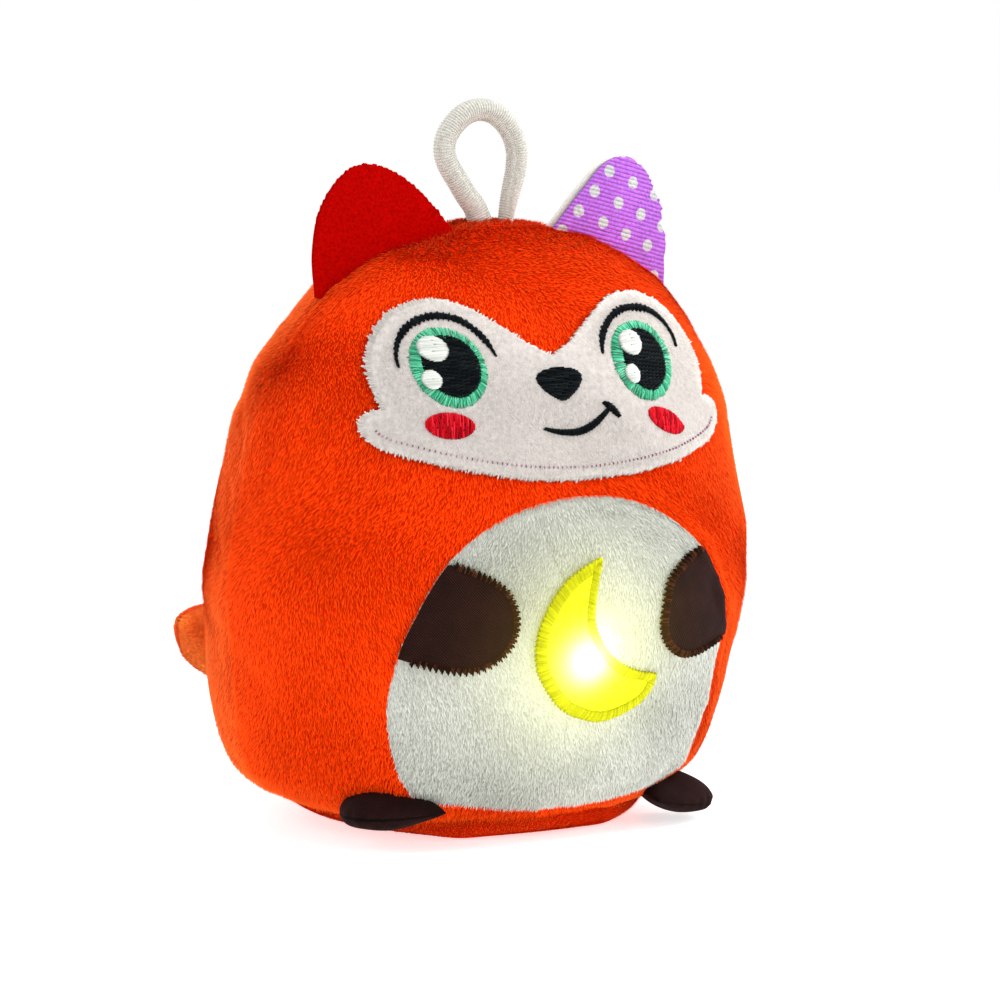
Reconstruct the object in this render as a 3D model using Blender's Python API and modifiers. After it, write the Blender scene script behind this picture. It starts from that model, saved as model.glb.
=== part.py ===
"""Plush fox night light: a stuffed minky body with a push-button light module in its belly.

The fox faces -Y, its left side is +X, and the origin is on the floor under its middle.
Each sewn panel, embroidered patch, moulding and contact is its own closed solid.
"""
import bpy
import bmesh
import math
from mathutils import Matrix, Vector

# Sizes in metres, angles in degrees, and shares of the sizes that they follow.

# Stuffed body: a lofted egg whose front and back panels meet on a leaning seam plane
BODY_HEIGHT = 0.146
BODY_HALF_WIDTH = 0.0675
BODY_FRONT_DEPTH = 0.0585
BODY_BACK_DEPTH = 0.062
SEAM_BASE_Y = 0.009
SEAM_LEAN_SHARE = -0.122
SECTION_POWER_SHARE = 2.15
SIDES_AROUND = 40
# height, half width, front depth and back depth, as shares of the four sizes above
BODY_STATION_SHARES = [
    (0.0, 0.490, 0.46, 0.580), (0.010, 0.600, 0.555, 0.660), (0.027, 0.652, 0.595, 0.734),
    (0.055, 0.785, 0.675, 0.823), (0.089, 0.867, 0.752, 0.895), (0.137, 0.910, 0.795, 0.952),
    (0.226, 0.956, 0.868, 1.0), (0.308, 0.982, 0.955, 0.980), (0.397, 1.0, 1.0, 0.935),
    (0.493, 0.993, 0.974, 0.895), (0.589, 0.966, 0.906, 0.831), (0.685, 0.930, 0.835, 0.755),
    (0.767, 0.863, 0.748, 0.661), (0.836, 0.775, 0.650, 0.565), (0.904, 0.650, 0.538, 0.452),
    (0.952, 0.493, 0.419, 0.323), (0.983, 0.304, 0.290, 0.169), (1.0, 0.0, 0.154, -0.145),
]

# Cloth thicknesses, and the gap that meshes of touching pieces keep
GAP = 0.0003
OVERRUN = 0.02
PLUSH_THICKNESS = 0.0022
PATCH_THICKNESS = 0.0010
THREAD_THICKNESS = 0.0005
POUCH_CLOTH = 0.0008
BASE_SEAM_HEIGHT = 0.004

# White face patch: its right half, from the notch between the eyes down to the chin
MASK_HALF_WIDTH = 0.0476
MASK_HEIGHT = 0.0415
MASK_BOTTOM_SHARE = 0.601
FACE_ACROSS_SHARE = -0.0326
MASK_HALF_SHARES = [
    (0.0, 0.648), (0.12, 0.725), (0.25, 0.845), (0.40, 0.965), (0.55, 1.0), (0.68, 0.962),
    (0.785, 0.89), (0.86, 0.785), (0.905, 0.68), (0.92, 0.57), (0.905, 0.46), (0.893, 0.392),
    (0.965, 0.368), (1.0, 0.312), (0.98, 0.235), (0.91, 0.165), (0.765, 0.105), (0.59, 0.055),
    (0.36, 0.018), (0.13, 0.002), (0.0, 0.0),
]
MASK_CORNER_INDEXES = (0, 11)

# White belly panel: its right half, from the top down to the bottom seam
BELLY_HALF_WIDTH = 0.0455
BELLY_BOTTOM_Z = 0.0072
BELLY_HEIGHT = 0.0771
BELLY_LEAN = 0.0025
BELLY_HALF_SHARES = [
    (0.0, 1.0), (0.17, 0.993), (0.33, 0.971), (0.49, 0.933), (0.64, 0.877), (0.76, 0.81),
    (0.855, 0.725), (0.92, 0.645), (0.965, 0.56), (0.99, 0.475), (1.0, 0.387), (0.98, 0.294),
    (0.94, 0.201), (0.885, 0.122), (0.80, 0.066), (0.64, 0.033), (0.42, 0.010), (0.18, 0.001),
    (0.0, 0.0),
]

# Twill arms: an outline that runs past the belly seam, which trims it
ARM_REACH = 0.026
ARM_MIDDLE_SHARE = 0.652
ARM_HALF_HEIGHT = 0.0127
ARM_SHARES = [
    (0.0, -0.20), (0.03, 0.18), (0.10, 0.45), (0.24, 0.66), (0.42, 0.84), (0.63, 1.0),
    (1.05, 1.22), (1.05, -0.72), (0.70, -0.90), (0.50, -0.99), (0.31, -0.98), (0.15, -0.82),
    (0.04, -0.55),
]
ARM_CORNER_INDEXES = (6, 7)

# Moon patch on the belly
MOON_HALF_WIDTH = 0.0168
MOON_HALF_HEIGHT = 0.0192
MOON_ACROSS_SHARE = 0.057
MOON_MIDDLE_SHARE = 0.558
MOON_SHARES = [
    (-0.03, 1.0), (-0.31, 0.90), (-0.57, 0.75), (-0.80, 0.53), (-0.95, 0.29), (-1.0, 0.0),
    (-0.95, -0.28), (-0.77, -0.52), (-0.53, -0.75), (-0.20, -0.91), (0.15, -1.0),
    (0.52, -0.96), (0.83, -0.84), (0.98, -0.65), (1.0, -0.49), (0.64, -0.41), (0.31, -0.29),
    (0.07, -0.13), (-0.11, 0.08), (-0.20, 0.31), (-0.16, 0.56), (-0.07, 0.86),
]
MOON_CORNER_INDEXES = (0, 14)

# Embroidered eyes, brows, nose, mouth and cheeks
EYE_ACROSS_SHARE = 0.542
EYE_MIDDLE_SHARE = 0.631
IRIS_HALF_WIDTH = 0.0088
IRIS_HALF_HEIGHT = 0.0093
PUPIL_HALF_WIDTH = 0.0065
PUPIL_HALF_HEIGHT = 0.0070
LARGE_GLINT_HALF_WIDTH = 0.0031
LARGE_GLINT_HALF_HEIGHT = 0.0028
LARGE_GLINT_ACROSS_SHARE = -0.25
LARGE_GLINT_UP_SHARE = 0.387
SMALL_GLINT_HALF_WIDTH = 0.0021
SMALL_GLINT_HALF_HEIGHT = 0.0022
SMALL_GLINT_ACROSS_SHARE = -0.341
SMALL_GLINT_UP_SHARE = -0.323
BROW_HALF_WIDTH = 0.0122
BROW_HEIGHT = 0.0122
BROW_LIFT = 0.0002
BROW_STROKE = 0.0014
BROW_SHARES = [
    (-1.0, 0.15), (-0.92, 0.43), (-0.74, 0.70), (-0.46, 0.90), (-0.14, 1.0), (0.20, 0.97),
    (0.52, 0.84), (0.80, 0.58), (0.95, 0.31), (1.0, 0.0),
]
NOSE_HALF_WIDTH = 0.0062
NOSE_HEIGHT = 0.0082
NOSE_BOTTOM_SHARE = 0.417
NOSE_SHARES = [
    (0.0, 1.0), (0.62, 0.96), (1.0, 0.72), (0.72, 0.32), (0.0, 0.0), (-0.72, 0.32),
    (-1.0, 0.72), (-0.62, 0.96),
]
MOUTH_LENGTH = 0.0184
MOUTH_START_SHARE = -0.126
MOUTH_BOTTOM_SHARE = 0.255
MOUTH_STROKE = 0.0013
MOUTH_SHARES = [(0.0, 0.06), (0.22, 0.01), (0.47, 0.0), (0.69, 0.07), (0.88, 0.185), (1.0, 0.28)]
MOUTH_TICK_SHARES = [(0.90, 0.33), (1.0, 0.27), (1.11, 0.15)]
CHEEK_ACROSS_SHARE = 0.605
CHEEK_MIDDLE_SHARE = 0.294
CHEEK_HALF_WIDTH = 0.0055
CHEEK_HALF_HEIGHT = 0.0028

# Ears: two layers of flat cloth each, stitched into the top seam
EAR_WIDTH = 0.037
EAR_HEIGHT = 0.031
EAR_INNER_SHARE = 0.166
EAR_SEAT = 0.016
EAR_LAYER = 0.0012
EAR_TOE_OUT_DEGREES = 8.0
EAR_SHARES = [
    (0.0, 0.42), (0.13, 0.60), (0.24, 0.745), (0.36, 0.87), (0.48, 0.955), (0.62, 1.0),
    (0.74, 0.955), (0.85, 0.825), (0.93, 0.65), (0.975, 0.45), (1.0, 0.22), (0.99, -0.04),
    (0.45, -0.06),
]
EAR_CORNER_INDEXES = (0, 11, 12)

# Hanging loop of tubular elastic
LOOP_RADIUS = 0.0028
LOOP_HALF_WIDTH = 0.0098
LOOP_RISE = 0.0236
LOOP_ACROSS_SHARE = -0.043
LOOP_SHARES = [
    (-0.15, 0.0), (-0.38, 0.123), (-0.64, 0.284), (-0.91, 0.46), (-1.0, 0.61), (-0.91, 0.757),
    (-0.63, 0.897), (-0.34, 0.975), (0.0, 1.0), (0.33, 0.97), (0.65, 0.875), (0.89, 0.73),
    (1.0, 0.553), (0.96, 0.367), (0.84, 0.18), (0.69, 0.0),
]

# Padded feet and stuffed tail
FOOT_ACROSS_SHARE = 0.585
FOOT_FORWARD_SHARE = 0.513
FOOT_Z = 0.0083
FOOT_HALF_LENGTH = 0.013
FOOT_HALF_REACH = 0.0095
FOOT_HALF_THICKNESS = 0.0044
FOOT_TURN_DEGREES = 41.0
TAIL_ROOT_ACROSS_SHARE = -0.059
TAIL_ROOT_SHARE = 0.171
TAIL_RADIUS = 0.0095
TAIL_LENGTH = 0.049
# x, y and z from the root as shares of the tail's length, and the radius as a share of its own
TAIL_SHARES = [
    (0.0, 0.0, 0.0, 0.75), (-0.30, 0.24, 0.08, 0.95), (-0.60, 0.27, 0.18, 1.0),
    (-0.80, 0.20, 0.27, 0.92), (-0.92, 0.13, 0.335, 0.63), (-1.0, 0.08, 0.385, 0.25),
]

# Light module: a two-part case in a cloth pouch behind the belly
MODULE_WIDTH = 0.037
MODULE_HEIGHT = 0.052
MODULE_DEPTH = 0.0185
MODULE_COVER = 0.0152
MODULE_BASE_Z = 0.028
CASE_WALL = 0.0014
CASE_CORNER = 0.003
CASE_SPLIT_SHARE = 0.46
BOSS_RADIUS = 0.0023
BOSS_INSET = 0.0042
SCREW_RADIUS = 0.0009
SCREW_HEAD_RADIUS = 0.0016
SCREW_HEAD_HEIGHT = 0.0011
RUNNING_GAP = 0.0003

BUTTON_UP = 0.0185
BUTTON_RADIUS = 0.011
BUTTON_REACH = 0.011
BUTTON_DOME = 0.006
BUTTON_WALL = 0.0014
BUTTON_FLANGE_RADIUS = 0.0125
BUTTON_FLANGE = 0.0010
RING_OUTER_RADIUS = 0.0105
RING_INNER_RADIUS = 0.0085
LED_RADIUS = 0.0025
LED_LENGTH = 0.0085

BOARD_WIDTH = 0.024
BOARD_HEIGHT = 0.045
BOARD_THICKNESS = 0.0012

CELL_RADIUS = 0.00525
CELL_LENGTH = 0.0445
CELL_NUB_RADIUS = 0.0019
CELL_NUB = 0.0010
CELL_SPACING = 0.0112
CONTACT_THICKNESS = 0.0004
CONTACT_WIDTH = 0.008
SPRING_WIRE_RADIUS = 0.0002
SPRING_RADIUS = 0.0026
SPRING_TURNS = 2.5
POINTS_PER_TURN = 10

DOOR_WIDTH = 0.0244
DOOR_THICKNESS = 0.0014
DOOR_MARGIN = 0.005
DOOR_TONGUE_WIDTH = 0.008
DOOR_TONGUE = 0.004
DOOR_GROOVE = 0.0012
DOOR_BOSS_RADIUS = 0.0019
DOOR_BOSS_DEPTH = 0.0012
RAIL_WIDTH = 0.0022
RAIL_THICKNESS = 0.0010

KNOB_WIDTH = 0.0022
KNOB_DEPTH = 0.0016
KNOB_DROP = 0.0012
KNOB_TRAVEL = 0.003
KNOB_SHOULDER = 0.0006
SWITCH_WIDTH = 0.0085
SWITCH_HEIGHT = 0.0026

# Cloth pouch, and the closing flap in the base
POUCH_EASE = 0.0004
FLAP_FORWARD_SHARE = 0.465
LIP_DEPTH = 0.0052
MOUTH_DEPTH = 0.0174
FLAP_RECESS = 0.0008
FLAP_CLOTH = 0.0015
FLAP_CORNER = 0.004
STRIP_THICKNESS = 0.0007
STRIP_MARGIN = 0.0012


def seam_y(z):
    """Where the plane between the front and back panels lies at a height."""
    return SEAM_BASE_Y + SEAM_LEAN_SHARE * z


def start_file():
    """Empty the scene and make one collection for the parts and one for the cutters."""
    for obj in list(bpy.data.objects):
        bpy.data.objects.remove(obj, do_unlink=True)
    groups = {}
    for name in ("plush_fox_night_light", "cutters"):
        group = bpy.data.collections.new(name)
        bpy.context.scene.collection.children.link(group)
        groups[name] = group
    return groups


GROUPS = start_file()
PARTS = GROUPS["plush_fox_night_light"]
CUTTERS = GROUPS["cutters"]


def finish(name, colour, roughness, metallic=0.0):
    """A plain material for a sub-part."""
    material = bpy.data.materials.new(name)
    material.use_nodes = True
    shader = material.node_tree.nodes["Principled BSDF"]
    shader.inputs["Base Color"].default_value = (*colour, 1.0)
    shader.inputs["Roughness"].default_value = roughness
    shader.inputs["Metallic"].default_value = metallic
    material.diffuse_color = (*colour, 1.0)
    return material


ORANGE_PLUSH = finish("orange_plush", (0.90, 0.16, 0.03), 0.9)
WHITE_PLUSH = finish("white_plush", (0.80, 0.77, 0.73), 0.9)
BROWN_TWILL = finish("brown_twill", (0.05, 0.02, 0.015), 0.85)
RED_FELT = finish("red_felt", (0.62, 0.01, 0.01), 0.9)
DOTTED_RIBBON = finish("dotted_ribbon", (0.50, 0.22, 0.72), 0.7)
OFF_WHITE_CLOTH = finish("off_white_cloth", (0.78, 0.78, 0.68), 0.85)
BLACK_THREAD = finish("black_thread", (0.012, 0.014, 0.016), 0.5)
GREEN_THREAD = finish("green_thread", (0.05, 0.42, 0.26), 0.45)
WHITE_THREAD = finish("white_thread", (0.86, 0.86, 0.84), 0.45)
RED_THREAD = finish("red_thread", (0.55, 0.01, 0.04), 0.5)
YELLOW_CLOTH = finish("yellow_cloth", (0.88, 0.82, 0.02), 0.6)
FIBRE = finish("polyester_fibre", (0.85, 0.85, 0.83), 0.95)
CASE_PLASTIC = finish("case_plastic", (0.74, 0.74, 0.72), 0.4)
FROSTED_PLASTIC = finish("frosted_plastic", (0.90, 0.90, 0.84), 0.35)
SILICONE = finish("silicone", (0.45, 0.45, 0.45), 0.6)
BOARD_GREEN = finish("board_green", (0.02, 0.20, 0.07), 0.4)
STEEL = finish("plated_steel", (0.62, 0.62, 0.60), 0.3, 1.0)
CELL_WRAP = finish("cell_wrap", (0.08, 0.09, 0.11), 0.35)
BLACK_PLASTIC = finish("black_plastic", (0.02, 0.02, 0.02), 0.45)


def add(name, mesh, group=CUTTERS):
    """Link a new object; one that cuts is drawn as wire and never rendered."""
    obj = bpy.data.objects.new(name, mesh)
    group.objects.link(obj)
    if group is CUTTERS:
        obj.hide_render = True
        obj.display_type = "WIRE"
    return obj


def keep(obj, name, material, smooth_degrees=35.0):
    """Turn a working shape into a named sub-part with its material."""
    CUTTERS.objects.unlink(obj)
    PARTS.objects.link(obj)
    obj.name = name
    obj.data.name = name
    obj.hide_render = False
    obj.display_type = "TEXTURED"
    obj.data.materials.clear()
    obj.data.materials.append(material)
    obj.data.shade_smooth()
    obj.data.set_sharp_from_angle(angle=math.radians(smooth_degrees))
    return obj


def from_bmesh(name, bm):
    """Make a working object from a bmesh, with its normals outwards."""
    bmesh.ops.recalc_face_normals(bm, faces=bm.faces)
    mesh = bpy.data.meshes.new(name)
    bm.to_mesh(mesh)
    bm.free()
    return add(name, mesh)


def evaluated(obj):
    """The mesh of an object as its modifiers leave it."""
    bpy.context.view_layer.update()
    graph = bpy.context.evaluated_depsgraph_get()
    return bpy.data.meshes.new_from_object(obj.evaluated_get(graph))


def combine(piece, other, operation):
    """Apply one exact Boolean to a piece."""
    modifier = piece.modifiers.new(operation.lower(), "BOOLEAN")
    modifier.operation = operation
    modifier.solver = "EXACT"
    modifier.object = other
    mesh = evaluated(piece)
    piece.modifiers.clear()
    piece.data = mesh
    return piece


def cut(piece, *cutters):
    for cutter in cutters:
        combine(piece, cutter, "DIFFERENCE")
    return piece


def trim(piece, *regions):
    for region in regions:
        combine(piece, region, "INTERSECT")
    return piece


def join(piece, *others):
    for other in others:
        combine(piece, other, "UNION")
    return piece


def box(name, low, high, rounding=0.0, along="Z"):
    """A box between two corners, with the edges that run along one axis rounded."""
    bm = bmesh.new()
    bmesh.ops.create_cube(bm, size=1.0)
    size = Vector(high) - Vector(low)
    middle = (Vector(high) + Vector(low)) / 2
    bmesh.ops.scale(bm, vec=size, verts=bm.verts)
    bmesh.ops.translate(bm, vec=middle, verts=bm.verts)
    if rounding:
        axis = "XYZ".index(along)
        edges = [e for e in bm.edges if abs((e.verts[0].co - e.verts[1].co)[axis]) > size[axis] / 2]
        bmesh.ops.bevel(bm, geom=edges, offset=rounding, segments=3, affect="EDGES", profile=0.5)
    return from_bmesh(name, bm)


# Local x, y and z of a drawn shape as world axes, for each axis that it is drawn along
DRAWN_ALONG = {
    "X": Matrix(((0, 0, 1), (1, 0, 0), (0, 1, 0))).to_4x4(),
    "Y": Matrix(((1, 0, 0), (0, 0, -1), (0, 1, 0))).to_4x4(),
    "Z": Matrix.Identity(4),
}


def on_axis(distance, axis):
    """A step along one world axis."""
    return Matrix.Translation(Vector([distance if a == axis else 0.0 for a in "XYZ"]))


def cylinder(name, centre, radius, low, high, axis, sides=24):
    """A round bar along a world axis, between two places on it."""
    bm = bmesh.new()
    bmesh.ops.create_cone(
        bm, cap_ends=True, segments=sides, radius1=radius, radius2=radius, depth=high - low
    )
    place = list(centre)
    place["XYZ".index(axis)] = (low + high) / 2
    bmesh.ops.transform(bm, matrix=DRAWN_ALONG[axis], verts=bm.verts)
    bmesh.ops.translate(bm, vec=place, verts=bm.verts)
    return from_bmesh(name, bm)


def prism(name, outline, low, high, axis="Y"):
    """A flat outline drawn along a world axis: a filled 2D curve made a mesh."""
    curve = bpy.data.curves.new(name, "CURVE")
    curve.dimensions = "2D"
    curve.fill_mode = "BOTH"
    curve.extrude = (high - low) / 2
    spline = curve.splines.new("POLY")
    spline.points.add(len(outline) - 1)
    for point, (u, v) in zip(spline.points, outline):
        point.co = (u, v, 0.0, 1.0)
    spline.use_cyclic_u = True
    drawn = add(name + "_outline", curve)
    mesh = evaluated(drawn)
    bpy.data.objects.remove(drawn, do_unlink=True)
    mesh.transform(on_axis((low + high) / 2, axis) @ DRAWN_ALONG[axis])
    return welded(name, mesh)


def welded(name, mesh):
    """A working object from a curve's mesh, whose caps are joined to its sides."""
    bm = bmesh.new()
    bm.from_mesh(mesh)
    bpy.data.meshes.remove(mesh)
    bmesh.ops.remove_doubles(bm, verts=bm.verts, dist=GAP / 100)
    return from_bmesh(name, bm)


def tube(name, points, radius, shares=None, resolution=2, smooth=1):
    """A round tube along points, or along a smooth path through them."""
    path = smooth_path(points, smooth) if smooth > 1 else points
    radii = smooth_path([(s, 0.0, 0.0) for s in shares], smooth) if shares else None
    curve = bpy.data.curves.new(name, "CURVE")
    curve.dimensions = "3D"
    curve.bevel_depth = radius
    curve.bevel_resolution = resolution
    curve.use_fill_caps = True
    spline = curve.splines.new("POLY")
    spline.points.add(len(path) - 1)
    for i, place in enumerate(path):
        spline.points[i].co = (*place, 1.0)
        if radii:
            spline.points[i].radius = radii[i][0]
    drawn = add(name + "_path", curve)
    mesh = evaluated(drawn)
    bpy.data.objects.remove(drawn, do_unlink=True)
    return welded(name, mesh)


def turned(name, profile, steps, place, axis="Z", sign=1):
    """A profile of radius and height, from its top down, turned about an axis by a Screw."""
    mesh = bpy.data.meshes.new(name)
    edges = [(i, i + 1) for i in range(len(profile) - 1)]
    mesh.from_pydata([(r, 0.0, h) for r, h in profile], edges, [])
    shape = add(name + "_profile", mesh)
    screw = shape.modifiers.new("turn", "SCREW")
    screw.axis = "Z"
    screw.angle = math.tau
    screw.steps = steps
    screw.render_steps = steps
    screw.use_merge_vertices = True
    screw.merge_threshold = GAP / 10
    solid = evaluated(shape)
    bpy.data.objects.remove(shape, do_unlink=True)
    frame = DRAWN_ALONG[axis].copy()
    if sign < 0:
        frame = frame @ Matrix.Rotation(math.pi, 4, "X")
    solid.transform(Matrix.Translation(place) @ frame)
    return welded(name, solid)


def spline_point(before, start, end, after, share):
    """A place between two points of a smooth curve that also knows its neighbours."""
    out = []
    for b, s, e, a in zip(before, start, end, after):
        leave, arrive = (e - b) / 2, (a - s) / 2
        out.append(
            s + leave * share
            + (3 * (e - s) - 2 * leave - arrive) * share ** 2
            + (2 * (s - e) + leave + arrive) * share ** 3
        )
    return tuple(out)


def smooth_path(points, steps):
    """An open smooth curve through points."""
    out = []
    for i in range(len(points) - 1):
        before = points[max(i - 1, 0)]
        after = points[min(i + 2, len(points) - 1)]
        out += [spline_point(before, points[i], points[i + 1], after, k / steps) for k in range(steps)]
    return out + [tuple(points[-1])]


def smooth_outline(points, corners=(), steps=2):
    """A closed smooth curve through points, sharp at the corners."""
    count, out = len(points), []
    for i in range(count):
        start, end = points[i], points[(i + 1) % count]
        before = start if i in corners else points[i - 1]
        after = end if (i + 1) % count in corners else points[(i + 2) % count]
        out += [spline_point(before, start, end, after, k / steps) for k in range(steps)]
    return out


def front_depth_at(z):
    """How far the body's front reaches at a height, between the rows that it is lofted through."""
    rows = [
        (height * BODY_HEIGHT, front * BODY_FRONT_DEPTH)
        for height, _, front, _ in BODY_STATION_SHARES
    ]
    for (low, depth), (high, next_depth) in zip(rows, rows[1:]):
        if z <= high:
            return depth + (next_depth - depth) * (z - low) / (high - low)
    return rows[-1][1]


def mirrored_half(half):
    """The whole outline from its right half, which runs from the top to the bottom."""
    return half + [(-x, z) for x, z in reversed(half[1:-1])]


def grown(outline, distance):
    """An outline moved outwards by a distance, or inwards by a negative one."""
    count = len(outline)
    area = sum(
        outline[i][0] * outline[(i + 1) % count][1] - outline[(i + 1) % count][0] * outline[i][1]
        for i in range(count)
    )
    side = 1 if area > 0 else -1
    out = []
    for i in range(count):
        here = Vector(outline[i])
        into = (here - Vector(outline[i - 1])).normalized()
        away = (Vector(outline[(i + 1) % count]) - here).normalized()
        normal = Vector((into.y + away.y, -into.x - away.x)).normalized() * side
        spread = max(normal.dot(Vector((into.y, -into.x)) * side), 0.5)
        out.append(tuple(here + normal * distance / spread))
    return out


def scaled(shares, width, height, x=0.0, z=0.0):
    """Shares of a width and a height as places."""
    return [(x + u * width, z + v * height) for u, v in shares]


def ellipse(x, z, half_width, half_height, sides=20):
    turns = [math.tau * i / sides for i in range(sides)]
    return [(x + half_width * math.cos(t), z + half_height * math.sin(t)) for t in turns]


def stroke(points, width, taper=0.55, steps=2):
    """The outline of a drawn line with narrower ends."""
    path = smooth_path(points, steps)
    left, right = [], []
    for i, place in enumerate(path):
        here = Vector(place)
        along = (Vector(path[min(i + 1, len(path) - 1)]) - Vector(path[max(i - 1, 0)])).normalized()
        share = i / (len(path) - 1)
        half = width / 2 * (taper + (1 - taper) * math.sin(math.pi * share) ** 0.5)
        across = Vector((-along.y, along.x)) * half
        left.append(tuple(here + across))
        right.append(tuple(here - across))
    return left + right[::-1]


# Places on the body, taken from what carries each piece
MASK_BOTTOM_Z = MASK_BOTTOM_SHARE * BODY_HEIGHT
FACE_X = FACE_ACROSS_SHARE * BODY_HALF_WIDTH
EYE_X = EYE_ACROSS_SHARE * MASK_HALF_WIDTH
EYE_Z = MASK_BOTTOM_Z + EYE_MIDDLE_SHARE * MASK_HEIGHT
CHEEK_X = CHEEK_ACROSS_SHARE * MASK_HALF_WIDTH
CHEEK_Z = MASK_BOTTOM_Z + CHEEK_MIDDLE_SHARE * MASK_HEIGHT
NOSE_BOTTOM_Z = MASK_BOTTOM_Z + NOSE_BOTTOM_SHARE * MASK_HEIGHT
MOUTH_LEFT_X = FACE_X + MOUTH_START_SHARE * MASK_HALF_WIDTH
MOUTH_BOTTOM_Z = MASK_BOTTOM_Z + MOUTH_BOTTOM_SHARE * MASK_HEIGHT
ARM_MIDDLE_Z = BELLY_BOTTOM_Z + ARM_MIDDLE_SHARE * BELLY_HEIGHT
MOON_X = MOON_ACROSS_SHARE * BELLY_HALF_WIDTH
MOON_Z = BELLY_BOTTOM_Z + MOON_MIDDLE_SHARE * BELLY_HEIGHT
EAR_INNER_X = EAR_INNER_SHARE * BODY_HALF_WIDTH
EAR_BOTTOM_Z = BODY_HEIGHT - EAR_SEAT
LOOP_X = LOOP_ACROSS_SHARE * BODY_HALF_WIDTH
FOOT_X = FOOT_ACROSS_SHARE * BODY_HALF_WIDTH
FOOT_Y = -FOOT_FORWARD_SHARE * BODY_FRONT_DEPTH
TAIL_ROOT_X = TAIL_ROOT_ACROSS_SHARE * BODY_HALF_WIDTH
TAIL_ROOT_Z = TAIL_ROOT_SHARE * BODY_HEIGHT
BUTTON_Z = MODULE_BASE_Z + BUTTON_UP
MODULE_FRONT_Y = MODULE_COVER - front_depth_at(BUTTON_Z)
FLAP_FRONT_Y = -FLAP_FORWARD_SHARE * BODY_FRONT_DEPTH
MOUTH_FRONT_Y = FLAP_FRONT_Y + LIP_DEPTH
MOUTH_BACK_Y = MOUTH_FRONT_Y + MOUTH_DEPTH

# The outlines that several pieces share
BELLY_OUTLINE = smooth_outline([
    (x + BELLY_LEAN * (1 - (z - BELLY_BOTTOM_Z) / BELLY_HEIGHT) ** 2, z) for x, z in mirrored_half(
        scaled(BELLY_HALF_SHARES, BELLY_HALF_WIDTH, BELLY_HEIGHT, z=BELLY_BOTTOM_Z))
], steps=1)
MASK_OUTLINE = smooth_outline([
    (FACE_X + x, z) for x, z in mirrored_half(
        scaled(MASK_HALF_SHARES, MASK_HALF_WIDTH, MASK_HEIGHT, z=MASK_BOTTOM_Z))
], steps=1)
FAR_FRONT = -BODY_FRONT_DEPTH - OVERRUN


def body_form(name, outset):
    """The closed body shape, grown by a distance: rings lofted from the floor to the crown."""
    bm = bmesh.new()
    rings = []
    for height, width, front, back in BODY_STATION_SHARES[:-1]:
        z = height * BODY_HEIGHT
        ring = []
        for i in range(SIDES_AROUND):
            turn = math.tau * i / SIDES_AROUND
            x = math.copysign(abs(math.cos(turn)) ** (2 / SECTION_POWER_SHARE), math.cos(turn))
            y = math.copysign(abs(math.sin(turn)) ** (2 / SECTION_POWER_SHARE), math.sin(turn))
            depth = back * BODY_BACK_DEPTH - seam_y(z) if y > 0 else front * BODY_FRONT_DEPTH + seam_y(z)
            ring.append(bm.verts.new((x * width * BODY_HALF_WIDTH, seam_y(z) + y * depth, z)))
        rings.append(ring)
    crown = bm.verts.new((0.0, seam_y(BODY_HEIGHT), BODY_HEIGHT))
    bm.faces.new(reversed(rings[0]))
    for lower, upper in zip(rings, rings[1:]):
        for i in range(SIDES_AROUND):
            j = (i + 1) % SIDES_AROUND
            bm.faces.new((lower[i], lower[j], upper[j]))
            bm.faces.new((lower[i], upper[j], upper[i]))
    for i in range(SIDES_AROUND):
        bm.faces.new((rings[-1][i], rings[-1][(i + 1) % SIDES_AROUND], crown))
    bmesh.ops.recalc_face_normals(bm, faces=bm.faces)
    bm.normal_update()
    moved = [(v, v.co + v.normal * outset) for v in bm.verts]
    for vert, place in moved:
        vert.co = place
    for vert in rings[0]:
        vert.co.z = -outset
    return from_bmesh(name, bm)


FORM_INDEX = {}


def form(outset):
    """The body shape at an outset, made once and shared by every cut that needs it."""
    key = round(outset / GAP * 100)
    if key not in FORM_INDEX:
        FORM_INDEX[key] = body_form(f"body_form_{len(FORM_INDEX)}", outset)
    return FORM_INDEX[key]


def skin(name, region, inner, outer):
    """A layer of cloth over the body: what lies in a region between two outsets."""
    piece = add(name, form(outer).data.copy())
    trim(piece, region)
    return cut(piece, form(inner))


# Regions that the three outer panels take
FAR = BODY_HEIGHT + OVERRUN
HALF_GAP = GAP / 2


def side_of_seam(name, sign):
    """All the space on one side of the leaning seam plane, above the base seam."""
    low, high = BASE_SEAM_HEIGHT + HALF_GAP, FAR
    shift = sign * HALF_GAP
    edge = [(seam_y(low) + shift, low), (seam_y(high) + shift, high)]
    far = [(sign * FAR, high), (sign * FAR, low)]
    return prism(name, edge + far, -FAR, FAR, "X")


def flap_outline(inset):
    """The closing flap's outline seen from below, with rounded front corners."""
    half = MODULE_WIDTH / 2 + POUCH_EASE + POUCH_CLOTH - inset
    back, front, corner = MOUTH_BACK_Y - inset, FLAP_FRONT_Y + inset, FLAP_CORNER
    arc = [math.radians(15.0 * i) for i in range(7)]
    right = [(half - corner + corner * math.cos(a), front + corner - corner * math.sin(a)) for a in arc]
    left = [(-x, y) for x, y in reversed(right)]
    return [(-half, back), (half, back)] + right + left


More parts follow.
